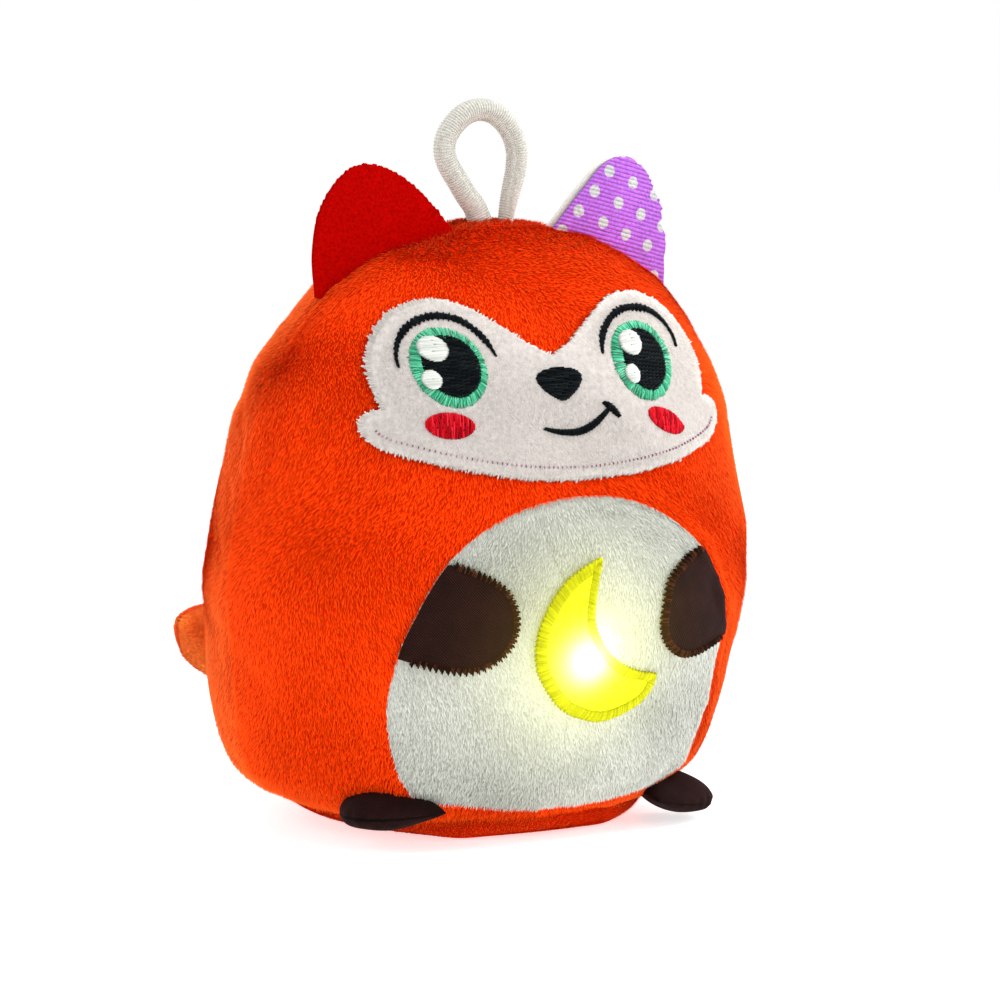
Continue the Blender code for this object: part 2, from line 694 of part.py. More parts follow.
def make_skins():
    """Front, back and base panels of orange plush, and the belly panel sewn into the front."""
    belly_hole = prism("belly_hole", grown(BELLY_OUTLINE, GAP), FAR_FRONT, 0.0)
    front = skin("front_panel", side_of_seam("front_side", -1), -PLUSH_THICKNESS, 0.0)
    keep(cut(front, belly_hole), "front_panel", ORANGE_PLUSH, 60.0)

    back = skin("back_panel", side_of_seam("back_side", 1), -PLUSH_THICKNESS, 0.0)
    keep(back, "back_panel", ORANGE_PLUSH, 60.0)

    under = box("base_region", (-FAR, -FAR, -OVERRUN), (FAR, FAR, BASE_SEAM_HEIGHT - HALF_GAP))
    base = skin("base_panel", under, -PLUSH_THICKNESS, 0.0)
    hole = prism("flap_hole", flap_outline(-GAP), -OVERRUN, OVERRUN, "Z")
    keep(cut(base, hole), "base_panel", ORANGE_PLUSH, 60.0)

    belly_region = prism("belly_region", BELLY_OUTLINE, FAR_FRONT, 0.0)
    belly = skin("belly_panel", belly_region, -PLUSH_THICKNESS, 0.0)
    keep(belly, "belly_panel", WHITE_PLUSH, 60.0)


def make_patch(name, outline, material, low, thickness, holes=(), trims=()):
    """A flat patch laid on the body: an outline cut from the layer at its height."""
    region = prism(name + "_region", outline, FAR_FRONT, 0.0)
    for hole in holes:
        cut(region, prism(name + "_hole", grown(hole, GAP), FAR_FRONT * 2, OVERRUN))
    for keep_in in trims:
        trim(region, prism(name + "_trim", keep_in, FAR_FRONT * 2, OVERRUN))
    return keep(skin(name, region, low, low + thickness), name, material, 60.0)


def make_face():
    """White face patch, and the thread-filled eyes, brows, nose, mouth and cheeks on it."""
    make_patch("face_mask", MASK_OUTLINE, WHITE_PLUSH, GAP, PATCH_THICKNESS)
    on_mask = GAP + PATCH_THICKNESS + GAP
    for side, sign in (("left", 1), ("right", -1)):
        x = FACE_X + sign * EYE_X
        pupil = ellipse(x, EYE_Z, PUPIL_HALF_WIDTH, PUPIL_HALF_HEIGHT)
        iris = ellipse(x, EYE_Z, IRIS_HALF_WIDTH, IRIS_HALF_HEIGHT, 28)
        large = ellipse(x + LARGE_GLINT_ACROSS_SHARE * IRIS_HALF_WIDTH,
                        EYE_Z + LARGE_GLINT_UP_SHARE * IRIS_HALF_HEIGHT,
                        LARGE_GLINT_HALF_WIDTH, LARGE_GLINT_HALF_HEIGHT, 14)
        small = ellipse(x + SMALL_GLINT_ACROSS_SHARE * IRIS_HALF_WIDTH,
                        EYE_Z + SMALL_GLINT_UP_SHARE * IRIS_HALF_HEIGHT,
                        SMALL_GLINT_HALF_WIDTH, SMALL_GLINT_HALF_HEIGHT, 12)
        thread = (on_mask, THREAD_THICKNESS)
        make_patch(f"{side}_iris", iris, GREEN_THREAD, *thread, holes=(pupil, large))
        make_patch(f"{side}_pupil", pupil, BLACK_THREAD, *thread, holes=(large, small))
        make_patch(f"{side}_large_glint", large, WHITE_THREAD, *thread)
        make_patch(f"{side}_small_glint", small, WHITE_THREAD, *thread)
        brow = scaled(BROW_SHARES, sign * -BROW_HALF_WIDTH, BROW_HEIGHT, x, EYE_Z + BROW_LIFT)
        make_patch(f"{side}_brow", stroke(brow, BROW_STROKE, steps=1), BLACK_THREAD, *thread)
        cheek = ellipse(FACE_X + sign * CHEEK_X, CHEEK_Z, CHEEK_HALF_WIDTH, CHEEK_HALF_HEIGHT, 16)
        make_patch(f"{side}_cheek", cheek, RED_THREAD, *thread)
    nose = smooth_outline(scaled(NOSE_SHARES, NOSE_HALF_WIDTH, NOSE_HEIGHT, FACE_X, NOSE_BOTTOM_Z))
    make_patch("nose", nose, BLACK_THREAD, on_mask, THREAD_THICKNESS)
    smile = scaled(MOUTH_SHARES, MOUTH_LENGTH, MOUTH_LENGTH, MOUTH_LEFT_X, MOUTH_BOTTOM_Z)
    tick = scaled(MOUTH_TICK_SHARES, MOUTH_LENGTH, MOUTH_LENGTH, MOUTH_LEFT_X, MOUTH_BOTTOM_Z)
    region = prism("smile_region", stroke(smile, MOUTH_STROKE), FAR_FRONT, 0.0)
    join(region, prism("tick_region", stroke(tick, MOUTH_STROKE), FAR_FRONT - OVERRUN, OVERRUN))
    mouth = skin("mouth", region, on_mask, on_mask + THREAD_THICKNESS)
    keep(mouth, "mouth", BLACK_THREAD, 60.0)


def make_belly_patches():
    """The moon, and the two twill arms whose outer ends are caught in the belly seam."""
    moon = smooth_outline(scaled(MOON_SHARES, MOON_HALF_WIDTH, MOON_HALF_HEIGHT, MOON_X, MOON_Z),
                          MOON_CORNER_INDEXES, 1)
    make_patch("moon_patch", moon, YELLOW_CLOTH, GAP, PATCH_THICKNESS)
    inside_seam = grown(BELLY_OUTLINE, -GAP)
    for side, sign in (("left", 1), ("right", -1)):
        tip = sign * (BELLY_HALF_WIDTH - ARM_REACH)
        arm = smooth_outline(scaled(ARM_SHARES, sign * ARM_REACH, ARM_HALF_HEIGHT, tip, ARM_MIDDLE_Z),
                             ARM_CORNER_INDEXES)
        make_patch(f"{side}_arm", arm, BROWN_TWILL, GAP, PATCH_THICKNESS, trims=(inside_seam,))


def make_ears():
    """Two cloth layers an ear: felt on the right one, dotted ribbon on the left one's front."""
    fronts = {"left": DOTTED_RIBBON, "right": RED_FELT}
    backs = {"left": OFF_WHITE_CLOTH, "right": RED_FELT}
    for side, sign in (("left", 1), ("right", -1)):
        outline = smooth_outline(
            scaled(EAR_SHARES, sign * EAR_WIDTH, EAR_HEIGHT, sign * EAR_INNER_X, EAR_BOTTOM_Z),
            EAR_CORNER_INDEXES,
        )
        middle = Vector((sign * (EAR_INNER_X + EAR_WIDTH / 2), seam_y(BODY_HEIGHT), 0.0))
        turn = (
            Matrix.Translation(middle)
            @ Matrix.Rotation(math.radians(sign * EAR_TOE_OUT_DEGREES), 4, "Z")
            @ Matrix.Translation(-middle)
        )
        layers = (
            ("front", fronts, middle.y - HALF_GAP - EAR_LAYER),
            ("back", backs, middle.y + HALF_GAP),
        )
        for layer, colours, low in layers:
            ear = prism(f"{side}_ear_{layer}", outline, low, low + EAR_LAYER)
            ear.data.transform(turn)
            keep(cut(ear, form(GAP)), f"{side}_ear_{layer}", colours[side])


def make_hanging_loop():
    """A bent tube of elastic with round roots, turning about the line through them."""
    hinge = Vector((0.0, seam_y(BODY_HEIGHT), BODY_HEIGHT + GAP + LOOP_RADIUS))
    places = [
        (LOOP_X + u * LOOP_HALF_WIDTH, hinge.y, hinge.z + v * LOOP_RISE) for u, v in LOOP_SHARES
    ]
    loop = tube("hang_loop", places, LOOP_RADIUS, resolution=2, smooth=2)
    for end in (places[0], places[-1]):
        bm = bmesh.new()
        bmesh.ops.create_uvsphere(bm, u_segments=12, v_segments=8, radius=LOOP_RADIUS)
        bmesh.ops.translate(bm, vec=end, verts=bm.verts)
        join(loop, from_bmesh("loop_root", bm))
    set_origin(keep(loop, "hang_loop", OFF_WHITE_CLOTH, 60.0), hinge)


def set_origin(obj, place):
    """Put an object's origin on its joint's axis, without moving its shape."""
    obj.data.transform(Matrix.Translation(-Vector(place)))
    obj.location = place


def make_limbs():
    """Padded feet at the belly's lower corners, and the stuffed tail at the back."""
    for side, sign in (("left", 1), ("right", -1)):
        bm = bmesh.new()
        bmesh.ops.create_uvsphere(bm, u_segments=20, v_segments=12, radius=1.0)
        bmesh.ops.scale(bm, vec=(FOOT_HALF_REACH, FOOT_HALF_LENGTH, FOOT_HALF_THICKNESS), verts=bm.verts)
        turn = Matrix.Rotation(math.radians(-sign * FOOT_TURN_DEGREES), 4, "Z")
        bmesh.ops.transform(bm, matrix=turn, verts=bm.verts)
        bmesh.ops.translate(bm, vec=(sign * FOOT_X, FOOT_Y, FOOT_Z), verts=bm.verts)
        foot = from_bmesh(f"{side}_foot_pad", bm)
        keep(cut(foot, form(GAP)), f"{side}_foot", BROWN_TWILL, 60.0)

    root = Vector((TAIL_ROOT_X, BODY_BACK_DEPTH - TAIL_RADIUS, TAIL_ROOT_Z))
    places = [tuple(root + TAIL_LENGTH * Vector(row[:3])) for row in TAIL_SHARES]
    tail = tube("tail_form", places, TAIL_RADIUS, [row[3] for row in TAIL_SHARES], 4, 2)
    keep(cut(tail, form(GAP)), "tail", ORANGE_PLUSH, 60.0)


# Places inside the module, all taken from its case and its walls
MODULE_HALF = MODULE_WIDTH / 2
MODULE_TOP_Z = MODULE_BASE_Z + MODULE_HEIGHT
MODULE_BACK_Y = MODULE_FRONT_Y + MODULE_DEPTH
SPLIT_Y = MODULE_FRONT_Y + CASE_SPLIT_SHARE * MODULE_DEPTH
FLOOR_Z = MODULE_BASE_Z + CASE_WALL
CEILING_Z = MODULE_TOP_Z - CASE_WALL
DOOR_INNER_Y = MODULE_BACK_Y - DOOR_THICKNESS
CELL_Y = DOOR_INNER_Y - GAP - CELL_RADIUS
BOARD_BACK_Y = CELL_Y - CELL_RADIUS - GAP
BOARD_FRONT_Y = BOARD_BACK_Y - BOARD_THICKNESS
DOOR_BOTTOM_Z = MODULE_BASE_Z + DOOR_MARGIN
DOOR_TOP_Z = MODULE_TOP_Z - DOOR_MARGIN - DOOR_TONGUE
SCREW_Z = DOOR_TOP_Z + DOOR_TONGUE / 2
DOOR_BOSS_LOW = DOOR_INNER_Y - GAP - DOOR_BOSS_DEPTH
KNOB_Y = MODULE_FRONT_Y + CASE_WALL + GAP + KNOB_DEPTH * 0.7
BOSS_PLACES = [
    (sx * (MODULE_HALF - BOSS_INSET), z)
    for sx in (-1, 1)
    for z in (MODULE_BASE_Z + BOSS_INSET, MODULE_TOP_Z - BOSS_INSET)
]


def case_block(name, low_y, high_y, inset):
    """The case's rounded block between two depths, inset on its four sides."""
    return box(
        name,
        (-MODULE_HALF + inset, low_y, MODULE_BASE_Z + inset),
        (MODULE_HALF - inset, high_y, MODULE_TOP_Z - inset),
        CASE_CORNER - inset,
        "Y",
    )


def make_case():
    """Front and rear case halves, with screw bosses, a button hole and a battery opening."""
    front = case_block("module_front_shell", MODULE_FRONT_Y, SPLIT_Y - HALF_GAP, 0.0)
    cut(front, case_block("front_hollow", MODULE_FRONT_Y + CASE_WALL, SPLIT_Y + OVERRUN, CASE_WALL))
    rear = case_block("module_rear_shell", SPLIT_Y + HALF_GAP, MODULE_BACK_Y, 0.0)
    cut(rear, case_block("rear_hollow", SPLIT_Y - OVERRUN, MODULE_BACK_Y - CASE_WALL, CASE_WALL))
    pilot, shank = SCREW_RADIUS + GAP / 3, SCREW_RADIUS + GAP
    for i, (x, z) in enumerate(BOSS_PLACES):
        spot = (x, 0.0, z)
        front_low, rear_high = MODULE_FRONT_Y + CASE_WALL / 2, MODULE_BACK_Y - CASE_WALL / 2
        join(front, cylinder("front_boss", spot, BOSS_RADIUS, front_low, SPLIT_Y - HALF_GAP, "Y", 16))
        join(rear, cylinder("rear_boss", spot, BOSS_RADIUS, SPLIT_Y + HALF_GAP, rear_high, "Y", 16))
        cut(front, cylinder("pilot", spot, pilot, MODULE_FRONT_Y + CASE_WALL, SPLIT_Y, "Y", 12))
        cut(rear, cylinder("shank_hole", spot, shank, SPLIT_Y, MODULE_BACK_Y + OVERRUN, "Y", 12))
        head_y = MODULE_BACK_Y - SCREW_HEAD_HEIGHT
        cut(rear, cylinder("counterbore", spot, SCREW_HEAD_RADIUS + GAP, head_y - GAP,
                           MODULE_BACK_Y + OVERRUN, "Y", 16))
        profile = [
            (0.0, 0.0), (SCREW_HEAD_RADIUS, 0.0), (SCREW_HEAD_RADIUS, -SCREW_HEAD_HEIGHT),
            (SCREW_RADIUS, -SCREW_HEAD_HEIGHT),
            (SCREW_RADIUS, MODULE_FRONT_Y + 2 * CASE_WALL - MODULE_BACK_Y),
            (0.0, MODULE_FRONT_Y + 2 * CASE_WALL - MODULE_BACK_Y),
        ]
        screw = turned("case_screw", profile, 12, (x, MODULE_BACK_Y, z), "Y", -1)
        keep(screw, f"case_screw_{i + 1}", STEEL)
    hole_radius = BUTTON_RADIUS + RUNNING_GAP
    cut(front, cylinder("button_hole", (0.0, 0.0, BUTTON_Z), hole_radius, MODULE_FRONT_Y - OVERRUN,
                        MODULE_FRONT_Y + 2 * CASE_WALL, "Y", 36))
    slot_half = (KNOB_WIDTH + KNOB_TRAVEL) / 2 + RUNNING_GAP
    depth_half = KNOB_DEPTH / 2 + RUNNING_GAP
    cut(front, box("knob_slot", (-slot_half, KNOB_Y - depth_half, MODULE_BASE_Z - OVERRUN),
                   (slot_half, KNOB_Y + depth_half, FLOOR_Z + CASE_WALL)))
    cut_door_opening(rear)
    keep(front, "module_front_shell", CASE_PLASTIC)
    keep(rear, "module_rear_shell", CASE_PLASTIC)


def door_blank(name, extra, depth):
    """The battery door's plate with its locking tongue at the top, grown by a clearance."""
    half, tongue = DOOR_WIDTH / 2 + extra, DOOR_TONGUE_WIDTH / 2 + extra
    low, neck, high = DOOR_BOTTOM_Z - extra, DOOR_TOP_Z + extra, DOOR_TOP_Z + DOOR_TONGUE + extra
    outline = [(-half, low), (half, low), (half, neck), (tongue, neck), (tongue, high),
               (-tongue, high), (-tongue, neck), (-half, neck)]
    return prism(name, outline, DOOR_INNER_Y, DOOR_INNER_Y + depth, "Y")


def cut_door_opening(rear):
    """The opening behind the door, the seat that it slides in, and its way out at the bottom."""
    cut(rear, door_blank("door_seat", GAP, DOOR_THICKNESS + OVERRUN))
    half = DOOR_WIDTH / 2 + GAP
    cut(rear, box("door_way_out", (-half, DOOR_INNER_Y, MODULE_BASE_Z - OVERRUN),
                  (half, MODULE_BACK_Y + OVERRUN, DOOR_BOTTOM_Z + DOOR_MARGIN)))
    rail_low = MODULE_BASE_Z + BOSS_INSET + BOSS_RADIUS + RUNNING_GAP
    for sign in (-1, 1):
        inner, foot, outer = (sign * (half + step) for step in (-RAIL_WIDTH, GAP, RAIL_WIDTH))
        join(rear, box("rail", (min(inner, outer), DOOR_INNER_Y - GAP - RAIL_THICKNESS, rail_low),
                       (max(inner, outer), DOOR_INNER_Y - GAP, DOOR_TOP_Z)))
        join(rear, box("rail_root", (min(foot, outer), DOOR_INNER_Y - RAIL_THICKNESS, rail_low),
                       (max(foot, outer), DOOR_INNER_Y + DOOR_THICKNESS / 2, DOOR_TOP_Z)))
    screw_spot = (0.0, 0.0, SCREW_Z)
    high = DOOR_INNER_Y - GAP
    join(rear, cylinder("door_boss", screw_spot, DOOR_BOSS_RADIUS, DOOR_BOSS_LOW, high, "Y", 16))
    join(rear, box("boss_web", (-DOOR_BOSS_RADIUS / 2, DOOR_BOSS_LOW, SCREW_Z),
                   (DOOR_BOSS_RADIUS / 2, high, CEILING_Z + CASE_WALL / 2)))
    cut(rear, cylinder("door_screw_hole", screw_spot, SCREW_RADIUS + RUNNING_GAP, DOOR_BOSS_LOW - GAP,
                       MODULE_BACK_Y + OVERRUN, "Y", 12))


def make_door():
    """The sliding battery door with its notched tongue, and the screw whose head holds it."""
    door = door_blank("battery_door", 0.0, DOOR_THICKNESS)
    notch = SCREW_RADIUS + GAP
    cut(door, cylinder("notch_end", (0.0, 0.0, SCREW_Z), notch, DOOR_INNER_Y - OVERRUN,
                       MODULE_BACK_Y + OVERRUN, "Y", 12))
    cut(door, box("notch", (-notch, DOOR_INNER_Y - OVERRUN, SCREW_Z),
                  (notch, MODULE_BACK_Y + OVERRUN, DOOR_TOP_Z + 2 * DOOR_TONGUE)))
    head = SCREW_HEAD_RADIUS + GAP
    recess_y = MODULE_BACK_Y - SCREW_HEAD_HEIGHT + DOOR_THICKNESS / 2
    cut(door, box("head_recess", (-head, recess_y - GAP, SCREW_Z - head),
                  (head, MODULE_BACK_Y + OVERRUN, DOOR_TOP_Z + 2 * DOOR_TONGUE)))
    for i in range(3):
        z = DOOR_BOTTOM_Z + DOOR_GROOVE * (3 + 3 * i)
        cut(door, box("finger_groove", (-DOOR_TONGUE_WIDTH, MODULE_BACK_Y - DOOR_THICKNESS / 3, z),
                      (DOOR_TONGUE_WIDTH, MODULE_BACK_Y + OVERRUN, z + DOOR_GROOVE)))
    keep(door, "battery_door", CASE_PLASTIC)

    top = recess_y + SCREW_HEAD_HEIGHT - DOOR_THICKNESS / 2
    length = top - DOOR_BOSS_LOW
    profile = [
        (0.0, 0.0), (SCREW_HEAD_RADIUS, 0.0), (SCREW_HEAD_RADIUS, recess_y - top),
        (SCREW_RADIUS, recess_y - top), (SCREW_RADIUS, -length), (0.0, -length),
    ]
    screw = turned("door_screw", profile, 16, (0.0, top, SCREW_Z), "Y", -1)
    arm = SCREW_HEAD_RADIUS * 0.7
    slot_low = top - SCREW_HEAD_HEIGHT / 3
    for half_x, half_z in ((arm, arm / 5), (arm / 5, arm)):
        cut(screw, box("cross_slot", (-half_x, slot_low, SCREW_Z - half_z),
                       (half_x, top + OVERRUN, SCREW_Z + half_z)))
    set_origin(keep(screw, "door_screw", STEEL), (0.0, top, SCREW_Z))


def make_button():
    """The frosted push dome, the silicone ring that lifts it, and the lamp under it."""
    inner_face = MODULE_FRONT_Y + CASE_WALL
    arc = [math.radians(15.0 * i) for i in range(7)]
    outer = [(BUTTON_RADIUS * math.sin(a), BUTTON_DOME * (math.cos(a) - 1)) for a in arc]
    base = -(BUTTON_REACH + CASE_WALL + GAP)
    flange = [
        (BUTTON_RADIUS, base), (BUTTON_FLANGE_RADIUS, base),
        (BUTTON_FLANGE_RADIUS, base - BUTTON_FLANGE), (BUTTON_RADIUS - BUTTON_WALL, base - BUTTON_FLANGE),
    ]
    hollow = BUTTON_RADIUS - BUTTON_WALL
    inner = [(hollow * math.sin(a), BUTTON_DOME * (math.cos(a) - 1) - BUTTON_WALL) for a in arc[::-1]]
    profile = outer + flange + inner
    tip = (0.0, MODULE_FRONT_Y - BUTTON_REACH, BUTTON_Z)
    button = turned("light_button", profile, 28, tip, "Y", 1)
    set_origin(keep(button, "light_button", FROSTED_PLASTIC), (0.0, MODULE_FRONT_Y, BUTTON_Z))

    ring_low = inner_face + GAP + BUTTON_FLANGE + GAP
    ring_high = BOARD_FRONT_Y - GAP
    ring = cylinder("ring", (0.0, 0.0, BUTTON_Z), RING_OUTER_RADIUS, ring_low, ring_high, "Y", 28)
    cut(ring, cylinder("ring_bore", (0.0, 0.0, BUTTON_Z), RING_INNER_RADIUS, ring_low - OVERRUN,
                       ring_high + OVERRUN, "Y", 28))
    keep(ring, "return_ring", SILICONE)

    dome = [math.radians(15.0 * i) for i in range(7)]
    rim, rim_height = LED_RADIUS * 1.16, LED_RADIUS * 0.4
    lamp = [(LED_RADIUS * math.sin(a), LED_RADIUS * (math.cos(a) - 1)) for a in dome]
    lamp += [(LED_RADIUS, rim_height - LED_LENGTH), (rim, rim_height - LED_LENGTH),
             (rim, -LED_LENGTH), (0.0, -LED_LENGTH)]
    place = (0.0, BOARD_FRONT_Y - GAP - LED_LENGTH, BUTTON_Z)
    keep(turned("led", lamp, 16, place, "Y", 1), "led", FROSTED_PLASTIC)


def make_electronics():
    """The circuit board, and the slide switch whose knob comes out of the case's underside."""
    low_z = FLOOR_Z + (CEILING_Z - FLOOR_Z - BOARD_HEIGHT) / 2
    board = box("board", (-BOARD_WIDTH / 2, BOARD_FRONT_Y, low_z),
                (BOARD_WIDTH / 2, BOARD_BACK_Y, low_z + BOARD_HEIGHT))
    keep(board, "circuit_board", BOARD_GREEN)

    knob_x = -KNOB_TRAVEL / 2
    shoulder_low = FLOOR_Z + GAP
    shoulder_high = shoulder_low + KNOB_SHOULDER
    stem = box("knob_stem", (knob_x - KNOB_WIDTH / 2, KNOB_Y - KNOB_DEPTH / 2, MODULE_BASE_Z - KNOB_DROP),
               (knob_x + KNOB_WIDTH / 2, KNOB_Y + KNOB_DEPTH / 2, shoulder_low + KNOB_SHOULDER / 2))
    plate = box("knob_plate", (knob_x - KNOB_WIDTH, KNOB_Y - KNOB_DEPTH * 0.7, shoulder_low),
                (knob_x + KNOB_WIDTH, KNOB_Y + KNOB_DEPTH * 0.7, shoulder_high))
    knob = keep(join(stem, plate), "power_slider", BLACK_PLASTIC)
    set_origin(knob, (knob_x, KNOB_Y, MODULE_BASE_Z))

    body_low = shoulder_high + GAP
    body = box("switch", (-SWITCH_WIDTH / 2, KNOB_Y - KNOB_DEPTH * 0.7, body_low),
               (SWITCH_WIDTH / 2, BOARD_FRONT_Y - GAP, body_low + SWITCH_HEIGHT))
    keep(body, "power_switch", BLACK_PLASTIC)


def cell_profile():
    """A cell's nub, shoulder, side and base, from its nub down."""
    groove = CELL_NUB_RADIUS / 4
    return [
        (0.0, 0.0), (CELL_NUB_RADIUS, 0.0), (CELL_NUB_RADIUS, -CELL_NUB),
        (CELL_RADIUS - groove, -CELL_NUB), (CELL_RADIUS, -CELL_NUB - groove),
        (CELL_RADIUS, -CELL_LENGTH + groove), (CELL_RADIUS - groove, -CELL_LENGTH), (0.0, -CELL_LENGTH),
    ]


def least_gap(points, wire_radius, apart):
    """The smallest clear distance between a coil's turns, measured on its points."""
    pairs = [
        (Vector(a) - Vector(b)).length
        for i, a in enumerate(points)
        for b in points[i + apart:]
    ]
    return min(pairs) - 2 * wire_radius


def make_batteries():
    """Two cells in series, each on a coil spring, between plated contacts at the two ends."""
    contact_low = FLOOR_Z + GAP
    contact_high = CEILING_Z - GAP
    lower_seat = contact_low + CONTACT_THICKNESS + GAP
    upper_seat = contact_high - CONTACT_THICKNESS - GAP
    spring_room = upper_seat - lower_seat - CELL_LENGTH - GAP
    half, reach = CONTACT_WIDTH / 2, CELL_SPACING / 2
    rows = (
        ("right", -reach, upper_seat, 1, lower_seat, "battery_spring_lower"),
        ("left", reach, lower_seat, -1, upper_seat - spring_room, "battery_spring_upper"),
    )
    for side, x, nub_z, sign, spring_z, spring_name in rows:
        cell = turned(f"battery_{side}", cell_profile(), 24, (x, CELL_Y, nub_z), "Z", sign)
        keep(cell, f"battery_{side}", CELL_WRAP)
        rise = spring_room - 2 * SPRING_WIRE_RADIUS
        count = int(SPRING_TURNS * POINTS_PER_TURN)
        points = []
        for i in range(count + 1):
            turn = math.tau * i / POINTS_PER_TURN
            z = spring_z + SPRING_WIRE_RADIUS + rise * i / count
            points.append((x + SPRING_RADIUS * math.cos(turn), CELL_Y + SPRING_RADIUS * math.sin(turn), z))
        gap = least_gap(points, SPRING_WIRE_RADIUS, POINTS_PER_TURN - 2)
        print(f"{spring_name}: least gap to itself {gap * 1000:.2f} mm")
        keep(tube(spring_name, points, SPRING_WIRE_RADIUS, resolution=1), spring_name, STEEL)

    def plate(name, low_x, high_x, low_z):
        solid = box(name + "_plate", (low_x, CELL_Y - half, low_z),
                    (high_x, CELL_Y + half, low_z + CONTACT_THICKNESS))
        keep(solid, name, STEEL)

    plate("contact_bridge", -reach - half, reach + half, contact_high - CONTACT_THICKNESS)
    plate("negative_terminal", -reach - half, -reach + half, contact_low)
    plate("positive_terminal", reach - half, reach + half, contact_low)


def pouch_block(name, grow, bottom_z):
    """The pocket round the module and the slanting mouth under it, as one solid."""
    half = MODULE_HALF + POUCH_EASE + grow
    front, back = MODULE_FRONT_Y - POUCH_EASE - grow, MODULE_BACK_Y + POUCH_EASE + grow
    top, knee = MODULE_TOP_Z + POUCH_EASE + grow, MODULE_BASE_Z - POUCH_EASE
    outline = [
        (front, top), (front, knee), (MOUTH_FRONT_Y - grow, bottom_z),
        (MOUTH_BACK_Y - POUCH_CLOTH + grow, bottom_z), (back, knee), (back, top),
    ]
    return prism(name, outline, -half, half, "X")


# Heights of the closing parts: flap, hook strip, loop strip, then the pouch's lip
HOOK_Z = FLAP_RECESS + FLAP_CLOTH + GAP
LOOP_STRIP_Z = HOOK_Z + STRIP_THICKNESS + GAP
LIP_Z = LOOP_STRIP_Z + STRIP_THICKNESS + GAP
LIP_HALF = MODULE_HALF + POUCH_EASE + POUCH_CLOTH


def make_pouch_and_filling():
    """The cloth pouch for the module, and the fibre filling round it."""
    pouch = pouch_block("pouch", POUCH_CLOTH, LIP_Z)
    lip = prism("lip", flap_outline(0.0), LIP_Z, LIP_Z + POUCH_CLOTH, "Z")
    trim(lip, box("lip_region", (-FAR, -FAR, 0.0), (FAR, MOUTH_FRONT_Y, FAR)))
    join(pouch, lip)
    window = BUTTON_RADIUS + BUTTON_WALL
    light_way = cylinder("light_way", (0.0, 0.0, BUTTON_Z), window, FAR_FRONT,
                         MODULE_FRONT_Y + POUCH_EASE, "Y", 32)
    cut(pouch, pouch_block("pouch_hollow", 0.0, LIP_Z - OVERRUN * 0.02), light_way)
    keep(pouch, "module_pouch", OFF_WHITE_CLOTH)

    filling = add("filling", form(-PLUSH_THICKNESS - GAP).data.copy())
    pocket = pouch_block("pocket", POUCH_CLOTH + GAP, LIP_Z - GAP)
    recess = prism("recess", flap_outline(-GAP), -OVERRUN, LIP_Z + POUCH_CLOTH + GAP, "Z")
    cut(filling, pocket, recess, light_way)
    keep(filling, "body_filling", FIBRE, 60.0)


def make_flap():
    """The closing flap, hinged at its sewn rear edge, and the hook and loop strips."""
    hinge = (0.0, MOUTH_BACK_Y, FLAP_RECESS)
    flap = prism("flap", flap_outline(0.0), FLAP_RECESS, FLAP_RECESS + FLAP_CLOTH, "Z")
    set_origin(keep(flap, "base_flap", ORANGE_PLUSH), hinge)
    half = LIP_HALF - FLAP_CORNER
    for name, low in (("hook_strip", HOOK_Z), ("loop_strip", LOOP_STRIP_Z)):
        strip = box(name, (-half, FLAP_FRONT_Y + STRIP_MARGIN, low),
                    (half, MOUTH_FRONT_Y, low + STRIP_THICKNESS))
        keep(strip, name, OFF_WHITE_CLOTH)
    set_origin(bpy.data.objects["hook_strip"], hinge)


make_skins()
make_face()
make_belly_patches()
make_ears()
make_hanging_loop()
make_limbs()
make_case()
make_door()
make_button()
make_electronics()
make_batteries()
make_pouch_and_filling()
make_flap()
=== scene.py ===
import math

import bmesh
import bpy
import numpy as np
from mathutils import Matrix, Vector
from mathutils.bvhtree import BVHTree


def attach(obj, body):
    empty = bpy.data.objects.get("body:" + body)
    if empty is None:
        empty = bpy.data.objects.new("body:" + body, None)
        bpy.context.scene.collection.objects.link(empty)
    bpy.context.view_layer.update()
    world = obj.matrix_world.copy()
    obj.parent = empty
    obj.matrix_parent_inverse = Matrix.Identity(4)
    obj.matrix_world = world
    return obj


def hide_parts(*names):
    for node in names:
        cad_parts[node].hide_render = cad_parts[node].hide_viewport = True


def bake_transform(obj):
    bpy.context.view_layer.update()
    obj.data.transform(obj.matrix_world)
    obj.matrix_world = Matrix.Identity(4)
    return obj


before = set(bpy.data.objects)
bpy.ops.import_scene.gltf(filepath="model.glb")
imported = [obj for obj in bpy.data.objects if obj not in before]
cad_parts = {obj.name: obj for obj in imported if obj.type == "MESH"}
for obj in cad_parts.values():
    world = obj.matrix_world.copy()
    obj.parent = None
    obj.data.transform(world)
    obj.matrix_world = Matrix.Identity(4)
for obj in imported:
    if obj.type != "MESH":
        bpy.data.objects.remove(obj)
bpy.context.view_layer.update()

# The studio: a pale table under a large soft light, with smaller ones in front, on each side and behind,
# and a white wall of light all round, as in a catalogue picture. The camera stands a metre off, a little
# above the toy and to its right, with a long lens.
stage = bpy.context.scene
stage.view_settings.view_transform = "Standard"

camera_turn, camera_rise, camera_distance = math.radians(-28), math.radians(6.5), 1.0
back_away = Vector((
    math.sin(camera_turn) * math.cos(camera_rise),
    -math.cos(camera_turn) * math.cos(camera_rise),
    math.sin(camera_rise),
))
aimed_at = Vector((0.00485, -0.00258, 0.0798))
bpy.ops.object.camera_add(
    location=aimed_at + back_away * camera_distance, rotation=back_away.to_track_quat("Z", "Y").to_euler()
)
camera = bpy.context.object
camera.data.sensor_width, camera.data.lens = 36, 147.5
stage.camera = camera


